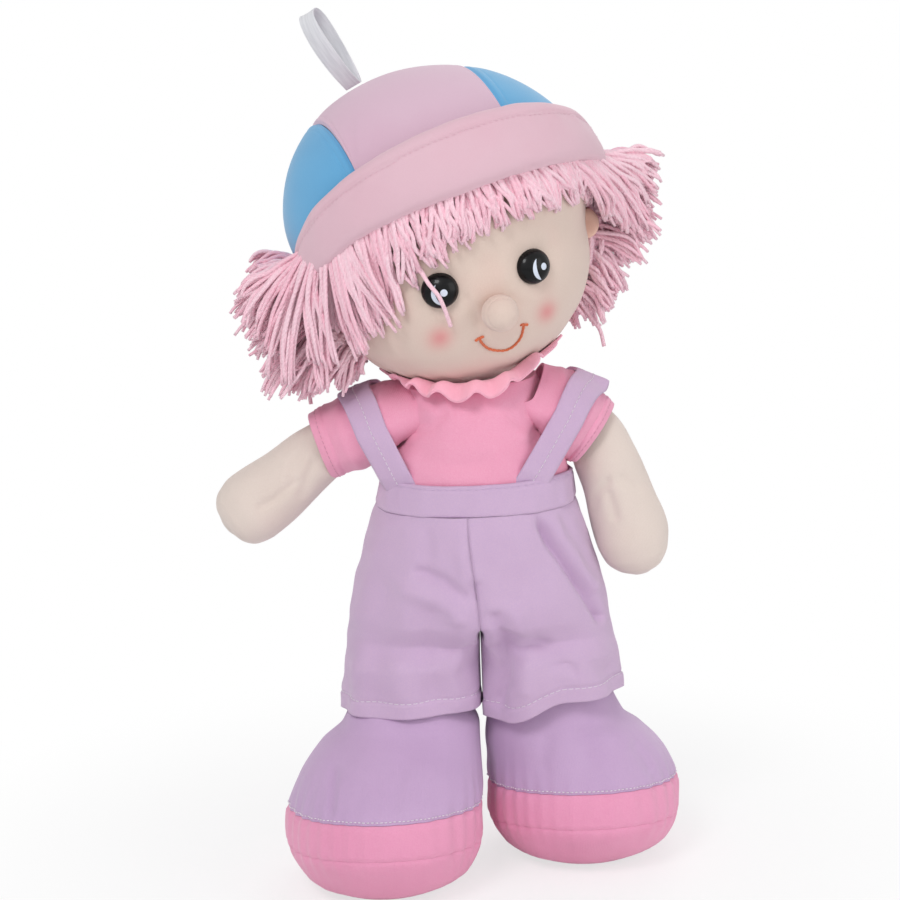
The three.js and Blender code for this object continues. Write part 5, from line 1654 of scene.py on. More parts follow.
@dataclass
class Legs:
    """The stuffed legs with their shoes: a lilac upper, a pink band and a pink sole, each sewn to the next."""

    shop: Workshop
    length: float = 128.0
    half_width: float = 47.8
    half_length: float = 59.0
    fullness: float = 2.15
    sole_seam: float = 24.0
    band_seam: float = 42.5
    shares: Row = (0, 0.031, 0.078, 0.219, 0.297, 0.352, 0.445, 0.547, 0.61, 0.78, 0.875, 1)
    widths: Row = (0.57, 0.74, 0.86, 0.99, 0.983, 0.955, 0.87, 0.69, 0.56, 0.51, 0.48, 0.38)
    lengths: Row = (0.68, 0.80, 0.89, 0.99, 0.983, 0.95, 0.82, 0.64, 0.54, 0.42, 0.32, 0.055)
    inward: Row = (0, 0, 0, 0, 0, 0, 0.03, 0.13, 0.33, 0.67, 0.84, 1)
    upright: Row = (0, 0, 0, 0, 0, 0.03, 0.25, 0.6, 0.75, 0.94, 1, 1)
    foot_out: float = 49.5
    hip_out: float = 28.0
    inner_gap: float = 0.9
    columns: int = 240
    foot_back: dict[Side, float] = field(default_factory=lambda: {Side.RIGHT: -17.0, Side.LEFT: 20.0})
    seam_rise: dict[Side, Pair] = field(
        default_factory=lambda: {Side.RIGHT: (8.0, 2.0), Side.LEFT: (9.0, 4.5)}
    )
    creases: tuple[Fold, ...] = (
        Fold(((-72.0, 66.0), (-73.4, 54.5)), 2.2, 1.6),
        Fold(((-40.0, 68.0), (-44.0, 56.0)), 4.0, 0.9),
        Fold(((74.0, 66.0), (80.0, 54.0)), 3.0, 1.2),
        Fold(((30.0, 72.0), (28.0, 60.0)), 4.0, 0.9),
        Fold(((46.0, 76.0), (50.0, 64.0)), 4.0, 0.7),
    )

    def build(self) -> None:
        """Makes the three pieces of each leg."""
        for side in Side:
            word = side.word
            cover = (f"leg_{word}_cover", f"leg_{word}_filling")
            band, sole = (f"shoe_{word}_band",), (f"shoe_{word}_sole",)
            parts = (
                (f"leg_{word}_upper", self.band_seam + 0.1, self.length, 120, SHOE_LILAC, "shoe_lilac", cover),
                (f"shoe_{word}_rand", self.sole_seam + 0.05, self.band_seam - 0.1, 44, SHOE_PINK, "shoe_pink", band),
                (f"shoe_{word}_pad", 0.0, self.sole_seam - 0.05, 56, SHOE_PINK, "shoe_pink", sole),
            )
            for name, low, high, rows, finish, slot, nodes in parts:
                surface = self.part(side, low, high, rows)
                made = self.shop.piece(name, surface, (finish, WHITE_THREAD), slot, nodes, f"leg_{word}")

    def rings(self, side: Side, height: Array) -> Array:
        """Rings of one leg at a column of heights: ovals that lean inward and upright from the shoe to the hip."""
        share, angle = height / self.length, turns(self.columns)
        middle = mix(self.foot_out, self.hip_out, table(self.shares, self.inward, share)) * side.value
        back = self.foot_back[side] * (1 - table(self.shares, self.upright, share))
        width = self.half_width * table(self.shares, self.widths, share)
        length = self.half_length * table(self.shares, self.lengths, share)
        inside = np.where(np.cos(angle) * side.value < 0, np.abs(middle) - self.inner_gap - 1.5 * share, width)
        dome = smoothstep(34.0, 50.0, height) * smoothstep(98.0, 76.0, height)
        x = middle + mix(width, np.maximum(inside, width), dome) * fuller(np.cos(angle), self.fullness)
        toe = 1 - 0.16 * smoothstep(22.0, 0.0, height) * (np.sin(angle) < 0)
        y = back + length * toe * fuller(np.sin(angle), self.fullness)
        rise, sink = self.seam_rise[side]
        front = -fuller(np.sin(angle), self.fullness)
        lifted = smoothstep(0.0, 22.0, height) * smoothstep(100.0, 46.0, height)
        toe_spring = 3.0 * smoothstep(0.2, 1.0, front) * smoothstep(40.0, 0.0, height)
        return stacked(x, y, height + (rise * front - sink) * lifted + toe_spring)

    def part(self, side: Side, low: float, high: float, rows: int) -> Surface:
        """One closed piece between two heights: puffed between its seams, gathered beside them, and, if it is the
        leg's upper, stitched.

        Args:
            side: Which leg.
            low: Height of its lower end.
            high: Height of its upper end.
            rows: Rings of the mesh.

        Returns:
            The piece, with the stitches of the leg's upper in the second material slot.
        """
        even = np.linspace(0, 1, rows)[:, None]
        z = mix(low, high, 0.5 * ((1 - np.cos(np.pi * even)) / 2) + 0.5 * even)
        rings, angle = self.rings(side, z), turns(self.columns)
        seamed = low > 0, high < self.length
        lower, upper = bell(z - low, 1.3) * seamed[0], bell(high - z, 1.3) * seamed[1]
        near = np.exp(-(z - low) / 8.0) * seamed[0] + np.exp(-(high - z) / 8.0) * seamed[1]
        crimp = np.cos(34 * angle + 2.5 * np.sin(3 * angle)) * (0.25 + 0.75 * np.cos(angle) ** 2)
        puff = 0.4 * np.sin(np.pi * np.clip((z - low) / (high - low), 0, 1)) * (high - low < 30)
        depths = [0.3 if abs(seam - self.sole_seam) < 1.0 else 0.7 for seam in (low, high)]
        lift = puff - depths[0] * lower - depths[1] * upper + 0.85 * crimp * near
        lift = lift + folded(rings, self.creases) * (high > 60)
        lift = lift + 0.6 * ripple(rings, 30.0, Seed.SHOE + side.value) * smoothstep(0.0, 5.0, z)
        x, y, _ = np.moveaxis(rings, -1, 0)
        normal = grid_normals(rings, True, stacked(x - x.mean(1, keepdims=True), y, 0.0))
        level = normal * [1, 1, 0]
        rings = rings + np.where((lower + upper)[..., None] > 0.1, level, normal) * lift[..., None]
        if low < self.band_seam:
            return skin(rings)
        row = int(np.abs(z - low - 1.5).argmin())
        seam = stitches(closed(rings[row]), closed(normal[row]), 2.1, 1.1, 0.3)
        return merged(skin(rings), seam.finished(1))


# Head, face, hair and cap


def through(points: Array, count: int, around: bool = False) -> Array:
    """Catmull-Rom curve through points.

    Args:
        points: Places along the first axis.
        count: Number of places on the curve.
        around: Whether the curve returns to its start.

    Returns:
        The curve's places along the first axis.
    """
    points = np.asarray(points, float)
    if around:
        padded, spans = np.concatenate([points[-1:], points, points[:2]]), len(points)
        place = np.arange(count) / count * spans
    else:
        ends = 2 * points[:1] - points[1:2], 2 * points[-1:] - points[-2:-1]
        padded, spans = np.concatenate([ends[0], points, ends[1]]), len(points) - 1
        place = np.linspace(0, spans, count)
    index = np.minimum(place.astype(int), spans - 1)
    part = (place - index).reshape(-1, *[1] * (points.ndim - 1))
    a, b, c, d = (padded[index + step] for step in range(4))
    curve = 2 * b + (c - a) * part + (2 * a - 5 * b + 4 * c - d) * part**2 + (3 * b - a - 3 * c + d) * part**3
    return curve / 2


@dataclass
class Face:
    """The stuffed head with its eyes, nose, ears, mouth and blush, in the head's frame."""

    shop: Workshop
    eye_spots: dict[Side, Pair] = field(
        default_factory=lambda: {Side.RIGHT: (-21.2, -2.5), Side.LEFT: (23.8, -3.8)}
    )
    eye_turn: float = 19.5
    eye_half_width: float = 8.6
    eye_half_height: float = 8.2
    eye_depth: float = 5.5
    nose_centre: Triple = (2.0, -58.33, -19.2)
    nose_radius: float = 8.5
    ear_degrees: float = 81.0
    ear_rise: float = 3.0
    pocket_radius: float = 10.3
    ear_half_width: float = 7.0
    ear_half_height: float = 7.5
    ear_half_depth: float = 3.6
    blushes: tuple[Triple, ...] = ((-25.2, -24.6, 5.2), (27.0, -27.2, 4.9))
    creases: tuple[tuple[tuple[Pair, ...], float, float], ...] = (
        (((-11.5, -8.0), (-9.0, -15.0), (-7.0, -22.0)), 1.8, 0.9),
        (((-25.0, -13.0), (-23.5, -21.0)), 1.8, 0.5),
        (((10.5, -8.0), (9.5, -14.0)), 1.8, 0.5),
        (((27.0, -12.5), (26.5, -19.0)), 2.0, 0.4),
    )
    mouth: tuple[Pair, ...] = (
        (-7.8, -30.0), (-6.7, -32.9), (-4.3, -36.2), (-1.7, -38.0), (0.9, -39.1), (4.2, -39.8),
        (7.4, -39.2), (10.3, -37.5), (12.5, -35.1), (13.9, -31.5), (14.2, -30.0),
    )
    ticks: tuple[tuple[Pair, ...], ...] = (
        ((-9.9, -30.4), (-5.7, -29.2)),
        ((12.5, -29.0), (16.2, -30.2)),
    )

    def build(self) -> None:
        """Makes the head and everything sewn to its face."""
        self.skin()
        for side in Side:
            self.eye(side)
            self.ear(side)
        self.nose()
        self.smile()

    def front(self, x: Array, z: Array) -> Array:
        """Y of the head's front over a spot of the front view."""
        width, depth = HEAD.reach(z)
        return -depth * np.sqrt(np.clip(1 - (x / width) ** 2, 0, 1))

    def lift(self, points: Array) -> Array:
        """How far the cloth stands off the plain form: pulled in round eyes and mouth, creased, seamed and lumpy."""
        spots = points[..., [0, 2]]
        facing = smoothstep(8.0, 24.0, -points[..., 1])
        total = -0.6 * bell(from_path(spots, self.mouth), 2.0)
        for x, z in self.eye_spots.values():
            apart = np.hypot(spots[..., 0] - x, spots[..., 1] - z)
            total = total - 1.2 * bell(apart, 10.5) + 0.5 * bell(apart - 14.0, 4.5)
        for path, width, depth in self.creases:
            total = total - depth * bell(from_path(spots, path), width)
        seam = -0.7 * bell(points[..., 1] + 9.0, 1.1) * smoothstep(20.0, 30.0, np.abs(points[..., 0]))
        calm = smoothstep(-1.0, -9.0, points[..., 2] - HEAD.rim(points))
        return (total * facing + seam + 0.4 * ripple(points, 24.0, Seed.HEAD)) * calm

    def skin(self) -> None:
        """Makes the head's skin, with a pocket for the neck below and the blush on both cheeks."""
        low = -HEAD.drop * np.cos(np.linspace(0.012, np.pi / 2, 96))[:-1]
        middle = np.linspace(0, HEAD.crown_rise, 34)[:-1]
        high = HEAD.crown_rise + HEAD.inner_height * np.sin(np.linspace(0, np.pi / 2 - 0.01, 56))
        heights = np.concatenate([low, middle, high])[:, None]
        rings = HEAD.spot(np.arange(280)[None] / 280 * 360.0, heights, 0.0)
        rings = raised(rings, self.lift(rings))
        radius = np.hypot(rings[..., 0], rings[..., 1])
        pocket = -HEAD_RISE + np.sqrt(np.clip(self.pocket_radius**2 - radius**2, 0, None))
        under = (radius < self.pocket_radius) & (rings[..., 2] < -40.0)
        rings[..., 2] = np.where(under, np.maximum(rings[..., 2], pocket), rings[..., 2])
        surface = skin(rings)
        blush = np.zeros(len(surface.points))
        for x, z, spread in self.blushes:
            apart = np.hypot(surface.points[:, 0] - x, surface.points[:, 2] - z)
            blush += 0.85 * bell(apart, spread) * (surface.points[:, 1] < -20)
        surface.tint = np.clip(blush, 0, 1)
        nodes = ("head_cover", "head_filling")
        made = self.shop.piece("head_skin", surface.moved(from_head), (FACE_CLOTH,), "face_cloth", nodes, "head")

    def eye(self, side: Side) -> None:
        """Makes one domed eye with a thin rim; the tint marks the printed crescent and dot.

        The crescent lies inside one circle and outside another. All marks are measured from the eye's middle.
        """
        slope, skirt, angle = np.linspace(0.012, np.pi / 2, 70), np.linspace(0, 1, 6)[1:], turns(120)
        radial = np.sin(slope)
        depth = self.eye_depth * np.cos(slope) - 0.25 * smoothstep(0.93, 0.96, radial)
        radial = np.concatenate([radial, 1 - 0.06 * skirt])[:, None]
        depth = np.concatenate([depth, depth[-1] - 2.2 * skirt])[:, None]
        x = self.eye_half_width * radial * np.cos(angle)
        z = self.eye_half_height * radial * np.sin(angle)
        local = stacked(x, -depth, z)
        across, up = self.eye_spots[side]
        middle = np.array([across, self.front(across, up) + 0.5, up])
        surface = skin(local @ rotation(Axis.Z, side.value * self.eye_turn).T + middle)
        x, y, z = np.concatenate([local.reshape(-1, 3), local[:1].mean(1), local[-1:].mean(1)]).T
        crescent = np.minimum(5.4 - np.hypot(x - 1.7, z + 1.3), np.hypot(x - 6.8, z + 0.8) - 8.5)
        dot = 1.65 - np.hypot(x - 2.3, z + 0.8)
        surface.tint = np.clip(0.5 + np.maximum(crescent, dot) / 1.2, 0, 1) * (y < -0.5)
        placed = surface.moved(from_head)
        self.shop.piece(f"eye_{side.word}_dome", placed, (EYE_PLASTIC,), "eye_plastic", (f"eye_{side.word}",), "head")

    def nose(self) -> None:
        """Makes the ball nose, flattened where it is sewn to the face, with a faint seam round it."""
        slope, angle = np.linspace(0.03, np.pi - 0.03, 90)[:, None], turns(110)
        radius = self.nose_radius * (1 - 0.035 * bell(slope - 1.05, 0.06))
        ring = radius * np.sin(slope)
        points = stacked(ring * np.cos(angle), -radius * np.cos(slope), ring * np.sin(angle)) + self.nose_centre
        points[..., 1] = np.minimum(points[..., 1], self.front(points[..., 0], points[..., 2]) + 0.9)
        surface = skin(points).moved(from_head)
        made = self.shop.piece("nose_ball", surface, (FACE_CLOTH,), "face_cloth", ("nose",), "head")

    def ear(self, side: Side) -> None:
        """Makes one small round ear, dented in front."""
        middle = HEAD.spot(side.value * self.ear_degrees, self.ear_rise, 0.0)
        slope, angle = np.linspace(0.04, np.pi - 0.04, 50)[:, None], turns(64)
        x = self.ear_half_width * np.sin(slope) * np.cos(angle)
        z = self.ear_half_height * np.sin(slope) * np.sin(angle)
        dent = 2.4 * np.exp(-(((x / 4.2) ** 2) + (z / 4.6) ** 2)) * (np.cos(slope) > 0)
        points = stacked(x, -self.ear_half_depth * np.cos(slope) + dent, z) + middle
        name, node = f"ear_{side.word}_disc", f"ear_{side.word}"
        made = self.shop.piece(name, skin(points).moved(from_head), (EAR_CLOTH,), "face_cloth", (node,), "head")

    def smile(self) -> None:
        """Makes the embroidered mouth: one thread along the smile and a short one across each end."""
        paths = []
        for spots in (self.mouth, *self.ticks):
            x, z = through(spots, 60).T
            points = stacked(x, self.front(x, z), z)
            normal = unit(points / np.array([HEAD.half_width, HEAD.half_depth, HEAD.drop]) ** 2)
            paths.append(points + normal * (self.lift(points)[:, None] + 0.3))
        surface = threads(np.stack(paths), 0.62, 10, 0.16, 1.3)
        self.shop.piece("mouth_thread", surface.moved(from_head), (MOUTH_THREAD,), "thread", (), "head")


@dataclass(frozen=True)
class Tuft:
    """Lines that one side tuft follows, in the head's front view or, with three numbers, in the head's frame.

    The fan leaves the head along the roots and ends along the tips, both from top to bottom. The strands that come
    from the front end along the sweep. One strand hangs loose.
    """

    side: Side
    seed: Seed
    roots: tuple[Pair, ...]
    tips: tuple[Pair, ...]
    sweep: tuple[Triple, ...]
    loose: tuple[Triple, ...]


@dataclass
class Hair:
    """Yarn hair: a fringe, the nape, a tuft at each side, and a few loose strands."""

    shop: Workshop
    radius: float = 1.08
    curl: float = 1.35
    clump: int = 5
    clump_pull: float = 0.6
    fringe_angles: Row = (-77, -67, -60, -48, -40, -33, -27, -18, -8, 0, 12, 25, 40, 50, 60, 70, 77)
    fringe_tips: Row = (-14, -16, -18, -16, -11, -4, 3, 10, 13, 15, 17, 16.5, 16.5, 17, 15, 11, 6)
    fringe_reach: float = 77.0
    nape_reach: Pair = (87.0, 273.0)
    fringe_count: int = 380
    nape_count: int = 400
    fan_count: int = 380
    front_count: int = 120
    bend: int = 18
    stray: tuple[Triple, ...] = (
        (-29.2, -46.9, 22.0), (-28.2, -51.5, 13.1), (-26.4, -56.0, 3.3), (-23.7, -58.6, -3.5), (-22.0, -56.6, -10.5),
        (-20.3, -51.8, -19.6),
    )

    def build(self) -> None:
        """Makes the four bunches of yarn."""
        self.fringe()
        self.nape()
        for tuft in TUFTS:
            self.tuft(tuft)

    def hung(self, angles: Array, low: Array, offset: Array, lean: Array, steps: int) -> Array:
        """Strands that hang on the head from under the cap's rim.

        Args:
            angles: Angle of each root round the head, in degrees.
            low: Height of each tip.
            offset: Distance from the head's surface to the strand.
            lean: Turn of the tip round the head, in degrees.
            steps: Points along a strand.

        Returns:
            Strands by points by three, in the head's frame.
        """
        share = np.linspace(0, 1, steps)[None]
        rim = HEAD.rim_at(angles)[:, None]
        height = mix(rim + 2.5, low[:, None], share)
        turned = angles[:, None] + lean[:, None] * share**1.5
        away = offset[:, None] + 1.3 * np.sin(np.pi * share) - 0.5 * share
        return HEAD.spot(turned, height, away)

    def bunch(self, name: str, node: str, paths: Array, tint: Array, extra: Surface | None = None) -> None:
        """Hands one bunch of strands to the workshop."""
        count, steps = paths.shape[:2]
        share = np.linspace(0, 1, steps)[None, :, None]
        random = np.random.default_rng(count)
        ends = paths[:, -1]
        guides = ends[random.permutation(count)[: count // self.clump]]
        nearest = np.linalg.norm(ends[:, None] - guides[None], axis=-1).argmin(1)
        paths = paths + ((guides[nearest] - ends) * self.clump_pull)[:, None] * share**1.6
        ways = unit(random.normal(size=(2, count, 1, 3)))
        phase, waves = random.uniform(0, 6.3, (2, count, 1, 1))
        swing = 2 * np.pi * (0.6 + waves / 6) * share + phase
        sway = self.curl * share**0.8 * (ways[0] * np.sin(swing) + 0.7 * ways[1] * np.cos(1.4 * swing))
        surface = threads(paths + sway, self.radius * (1 - 0.35 * share[..., 0] ** 4), 7, tint=tint)
        whole = surface if extra is None else merged(surface, extra)
        self.shop.piece(name, whole.moved(from_head), (HAIR_YARN,), "hair_yarn", (node,), "head")

    def strand(self, path: tuple[Triple, ...]) -> Surface:
        """One single strand through given places."""
        return threads(through(path, 40)[None], self.radius * 0.92, 8, tint=np.array([0.3]))

    def fringe(self) -> None:
        """Makes the fringe of two layers, longest at the doll's right temple, with one stray strand over the eye."""
        random, count = np.random.default_rng(Seed.FRINGE), self.fringe_count
        angles = np.linspace(-self.fringe_reach, self.fringe_reach, count) + random.normal(0, 1.4, count)
        low = table(self.fringe_angles, self.fringe_tips, angles) + random.uniform(-1.5, 5.0, count)
        layer = np.arange(count) % 3
        low = low + 2.0 * layer * (angles > -30)
        lean = random.normal(0, 4.0, count)
        lean = lean + 7.0 * smoothstep(-10.0, 30.0, angles) - 6.0 * smoothstep(-20.0, -50.0, angles)
        paths = self.hung(angles, low, 1.4 + 1.5 * layer, lean, 14)
        tint = random.uniform(0, 1, count) ** 1.5
        self.bunch("hair_fringe_yarn", "hair_fringe", paths, tint, self.strand(self.stray))

    def nape(self) -> None:
        """Makes the hair round the back of the head, of four layers."""
        random, count = np.random.default_rng(Seed.NAPE), self.nape_count
        angles = np.linspace(*self.nape_reach, count) + random.normal(0, 1.0, count)
        back = np.sqrt(np.clip(-np.cos(np.radians(angles)), 0, 1))
        low = -40.0 * mix(0.55, 1.0, back) + random.uniform(-3.0, 7.0, count)
        offset = 1.4 + 1.9 * (np.arange(count) % 4)
        paths = self.hung(angles, low, offset, random.normal(0, 3.0, count), 20)
        self.bunch("hair_back_yarn", "hair_back", paths, random.uniform(0, 1, count) ** 1.5)

    def swept_over(self, tuft: Tuft, random: np.random.Generator) -> Array:
        """Strands that leave the cap's rim in front and sweep over the temple into the tuft.

        Args:
            tuft: The tuft, whose sweep holds the places where they end, from its top to the face.
            random: Source of their spread.

        Returns:
            Strands by points by three, in the head's frame.
        """
        count = self.front_count
        share = np.sort(random.uniform(0, 1, count))
        angle = tuft.side.value * mix(82.0, 44.0, share) + random.normal(0, 2.5, count)
        layer = random.uniform(0, 1, count)
        root = HEAD.spot(angle, HEAD.rim_at(angle) + 1.0, 2.0 + 2.0 * layer)
        tip = through(tuft.sweep, 200)[(share * 199).astype(int)] + random.normal(0, 2.2, (count, 3))
        run = (tip - root) * random.uniform(0.8, 1.04, (count, 1))
        out = unit(root * [1, 1, 0]) * (5.0 + 3.0 * layer[:, None])
        first = root + 0.25 * run + out + [0, 0, -1.5]
        second = root + 0.7 * run + 0.7 * out + [0, 0, 2.5] + random.normal(0, 1.4, (count, 3))
        return bezier(np.stack([root, first, second, root + run], axis=1), self.bend)

    def tuft(self, tuft: Tuft) -> None:
        """Makes one side tuft: strands that fan out from the side of the head and droop at their ends."""
        random, count = np.random.default_rng(tuft.seed), self.fan_count
        share = np.sort(random.uniform(0, 1, count))
        depth = random.uniform(-1, 1, count)
        at = (share * 199).astype(int)
        (root_x, root_z), (tip_x, tip_z) = (through(line, 200)[at].T for line in (tuft.roots, tuft.tips))
        bulk = np.sqrt(np.clip(1 - (2 * share - 1) ** 2, 0, 1))
        root = stacked(root_x - tuft.side.value * 4.0, 12 + 11 * depth, root_z)
        reach = random.uniform(0.74, 1.03, count)[:, None] * (1 - 0.16 * depth**2)[:, None]
        tip = root + (stacked(tip_x, 0.0, tip_z) - root) * reach
        tip[:, 1] = 12 + 19 * depth * mix(0.75, 1.0, bulk) + random.normal(0, 1.5, count)
        tip[:, [0, 2]] += random.normal(0, 1.6, (count, 2))
        run = tip - root
        arch = stacked(0.0, 4.0 * depth, 6.5 + random.normal(0, 2.0, count))
        first = root + 0.34 * run + arch * 0.9 + random.normal(0, 1.0, (count, 3))
        second = root + 0.74 * run + arch + random.normal(0, 1.6, (count, 3))
        fan = bezier(np.stack([root, first, second, tip], axis=1), self.bend)
        paths = np.concatenate([fan, self.swept_over(tuft, random)])
        node, tint = f"hair_{tuft.side.word}", random.uniform(0, 1, len(paths)) ** 1.5
        self.bunch(f"{node}_yarn", node, paths, tint, self.strand(tuft.loose))


RIGHT_TUFT = Tuft(
    side=Side.RIGHT,
    seed=Seed.TUFT_RIGHT,
    roots=((-72.0, 16.6), (-64.3, 9.7), (-58.9, 3.4), (-59.0, -6.4), (-59.1, -16.2), (-56.0, -25.0), (-50.0, -30.0)),
    tips=(
        (-94.3, 25.4), (-103.0, 8.0), (-108.0, -9.8), (-105.4, -24.9), (-101.4, -38.5), (-86.9, -44.1),
        (-75.9, -44.0), (-56.6, -42.9),
    ),
    sweep=(
        (-101.0, 0.0, 24.0), (-106.0, -4.0, 8.0), (-102.0, -6.0, -12.0), (-98.0, -8.0, -28.0), (-88.0, -12.0, -37.0),
        (-77.0, -18.0, -37.0), (-62.0, -28.0, -26.0), (-54.0, -35.0, -20.0), (-46.0, -42.0, -16.0),
        (-38.0, -47.0, -10.0),
    ),
    loose=((-80.0, 33.0, -26.0), (-82.0, 32.3, -36.2), (-79.7, 31.8, -43.4), (-80.2, 31.9, -50.6)),
)
LEFT_TUFT = Tuft(
    side=Side.LEFT,
    seed=Seed.TUFT_LEFT,
    roots=((83.3, 27.9), (78.2, 18.0), (72.8, 7.3), (67.4, -3.5), (63.9, -12.4), (58.3, -24.2), (54.0, -30.0)),
    tips=(
        (112.0, 17.5), (106.9, 1.1), (101.4, -12.9), (95.3, -22.6), (85.2, -33.7), (72.8, -39.9), (66.5, -46.5),
        (50.9, -50.3),
    ),
    sweep=(
        (110.0, 2.0, 25.0), (107.0, 2.0, 12.0), (101.0, -2.0, 2.0), (95.0, -5.0, -4.0), (88.0, -8.0, -8.0),
        (80.0, -14.0, -4.0), (70.0, -24.0, 4.0),
    ),
    loose=((57.0, 4.0, -30.0), (57.9, 2.0, -42.0), (60.8, 1.4, -50.3), (60.9, 1.3, -58.5)),
)
TUFTS = (RIGHT_TUFT, LEFT_TUFT)


@dataclass
class Cap:
    """The padded cap of three panels with its turned-up brim and ribbon loop, in the cap's frame."""

    shop: Workshop
    half_width: float = 74.0
    half_depth: float = 66.0
    half_height: float = 64.5
    rise: float = 30.0
    thickness: float = 3.0
    strip: Pair = (-45.0, 30.0)
    strip_turn: float = 0.18
    lean: float = 4.0
    brim_centre: float = 11.0
    brim_span: float = 88.0
    brim_height: float = 28.0
    brim_tip_height: float = 3.0
    brim_thickness: float = 9.0
    brim_tip_thickness: float = 3.5
    brim_lean: float = 5.0
    brim_section: tuple[Pair, ...] = (
        (0, 0), (0.75, 0), (1, 0.22), (0.97, 0.6), (0.86, 0.9), (0.5, 1), (0.22, 0.9), (0.05, 0.5),
    )
    loop_place: Pair = (-21.0, 10.0)
    loop_length: float = 41.0
    loop_bulge: float = 9.0
    ribbon_width: float = 9.0
    ribbon_thickness: float = 0.9
    loop_turn: float = 60.0
    loop_lean: float = -18.0
    mean_radius: float = 66.0
    panel_rays: int = 300
    panel_rows: int = 74
    brim_rows: int = 220
    brim_columns: int = 84
    loop_rows: int = 150
    loop_columns: int = 28

    def build(self) -> None:
        """Makes the panels, the brim and the loop."""
        right, left = self.strip
        reach = self.half_width * 2
        self.panel("crown_middle_panel", "crown_center", (-6.0, 8.0, 64.0), (right, left), CAP_PINK, "cap_pink")
        self.panel("crown_right_panel", "crown_right", (-70.0, 0.0, 20.0), (-reach, right - 0.3), CAP_BLUE, "cap_blue")
        self.panel("crown_left_panel", "crown_left", (66.0, 0.0, 24.0), (left + 0.3, reach), CAP_BLUE, "cap_blue")
        self.brim()
        self.loop()

    def leaned(self, points: Array) -> Array:
        """Points pushed towards the doll's right in proportion to their height in the crown."""
        shift = -self.lean * (points[..., 2] - self.rise) / self.half_height
        return points + stacked(shift, 0.0, 0.0)

    def rim(self, x: Array, y: Array) -> Array:
        """Height of the rim plane."""
        return HEAD.rim_height + np.tan(np.radians(HEAD.rim_roll)) * x - np.tan(np.radians(HEAD.rim_pitch)) * y

    def panel_ends(self, middle: Array, rays: Array, between: Pair) -> Array:
        """Angle from a panel's middle to its border along each ray, on the unit ball.

        A ray meets a plane n . s = c at delta + acos(c / r), with delta and r the angle and length of (n . middle,
        n . ray). It ends at the first plane that it meets: the two that bound the panel sideways, or the rim.

        Args:
            middle: Direction of the panel's middle.
            rays: Directions at right angles to it, one for each ray.
            between: Least and greatest X of the panel.

        Returns:
            One angle per ray.
        """
        radii = np.array([self.half_width, self.half_depth, self.half_height])
        tilt = np.array([-np.tan(np.radians(HEAD.rim_roll)), np.tan(np.radians(HEAD.rim_pitch)), 1.0])
        sideways = np.array([self.half_width, self.strip_turn * self.half_depth, 0.0])
        planes = (sideways, between[0]), (-sideways, -between[1]), (tilt * radii, HEAD.rim_height - self.rise)
        ends = []
        for normal, level in planes:
            near, far = normal @ middle, rays @ normal
            length = np.hypot(near, far)
            crossing = np.arctan2(far, near) + np.arccos(np.clip(level / length, -1, 1))
            ends.append(np.where(np.abs(level) < length, crossing, np.pi))
        return np.min(ends, axis=0)

    def panel(self, name: str, node: str, centre: Triple, between: Pair, finish: Cloth, slot: str) -> None:
        """Makes one panel of the crown, of rays that spread from its middle in every angle up to its border.

        Args:
            name: The piece's name.
            node: CAD node that it replaces.
            centre: Direction inside the panel.
            between: Least and greatest X of the panel.
            finish: Its cloth.
            slot: The record's slot.
        """
        radii = np.array([self.half_width, self.half_depth, self.half_height])
        middle = unit(np.array(centre) / radii)
        first = unit(np.cross(middle, BACKWARD))
        angle = turns(self.panel_rays)[:, None]
        rays = np.cos(angle) * first + np.sin(angle) * np.cross(middle, first)
        end = self.panel_ends(middle, rays, between)
        share = 1 - (1 - np.linspace(0.004, 1, self.panel_rows)) ** 1.5
        arc = share[:, None] * end
        ball = np.cos(arc)[..., None] * middle + np.sin(arc)[..., None] * rays
        border = (end - arc) * self.mean_radius
        roll = -1.3 * bell(border, 1.1) - 0.25 * bell(border - 4.0, 0.6)
        puff = 0.25 * ripple(ball * self.mean_radius, 40.0, Seed.CROWN) * smoothstep(2.0, 9.0, border)
        outer = ball * (radii + (roll + puff)[..., None]) + [0, 0, self.rise]
        inner = ball * (radii - self.thickness * 0.97) + [0, 0, self.rise]
        surface = skin(self.leaned(np.concatenate([outer, inner[::-1]])))
        self.shop.piece(name, surface.moved(from_cap), (finish,), slot, (node,), "head")

    def brim(self) -> None:
        """Makes the brim: a closed section carried along the rim, thin at both tips, rolled and sewn at its edge."""
        share = np.sin(np.linspace(-np.pi / 2, np.pi / 2, self.brim_rows) * 0.985)[:, None]
        swell = np.sqrt(1 - share**2)
        angle = np.radians(self.brim_centre + share * self.brim_span)
        low_right, low_left = 6.0 * smoothstep(-0.45, -0.9, share), smoothstep(0.5, 0.95, share)
        height = mix(self.brim_tip_height, self.brim_height, swell**1.2) + (3.0 + low_right + 2.0 * low_left)
        droop = 3.0 + 5.0 * share**2 - 2.0 * share + low_right + 3.5 * low_left
        thick = mix(self.brim_tip_thickness, self.brim_thickness, swell)
        outward = np.concatenate([np.sin(angle), -np.cos(angle)], axis=-1)
        edge = outward * [self.half_width, self.half_depth]
        above = (self.rim(edge[:, :1], edge[:, 1:]) - self.rise) / self.half_height
        edge = edge * np.sqrt(1 - above**2)
        out, up = through(self.brim_section, self.brim_columns, True).T[:, None]
        offset = thick * out - self.brim_lean * swell * up**2 + 0.2
        x, y = (edge[:, None] + outward[:, None] * offset[..., None]).transpose(2, 0, 1)
        rings = stacked(x, y, self.rim(x, y) - droop + height * up)
        below = height * (1 - up)
        outside = smoothstep(0.3, 0.7, out) * smoothstep(6.0, 14.0, height)
        groove = -0.7 * bell(below - 6.0, 0.8) * outside
        gathers = 0.3 * np.cos(angle * 30) * bell(below - 8.0, 4.0) * outside
        rings = raised(rings, groove + (0.35 * ripple(rings, 22.0, Seed.BRIM) + gathers))
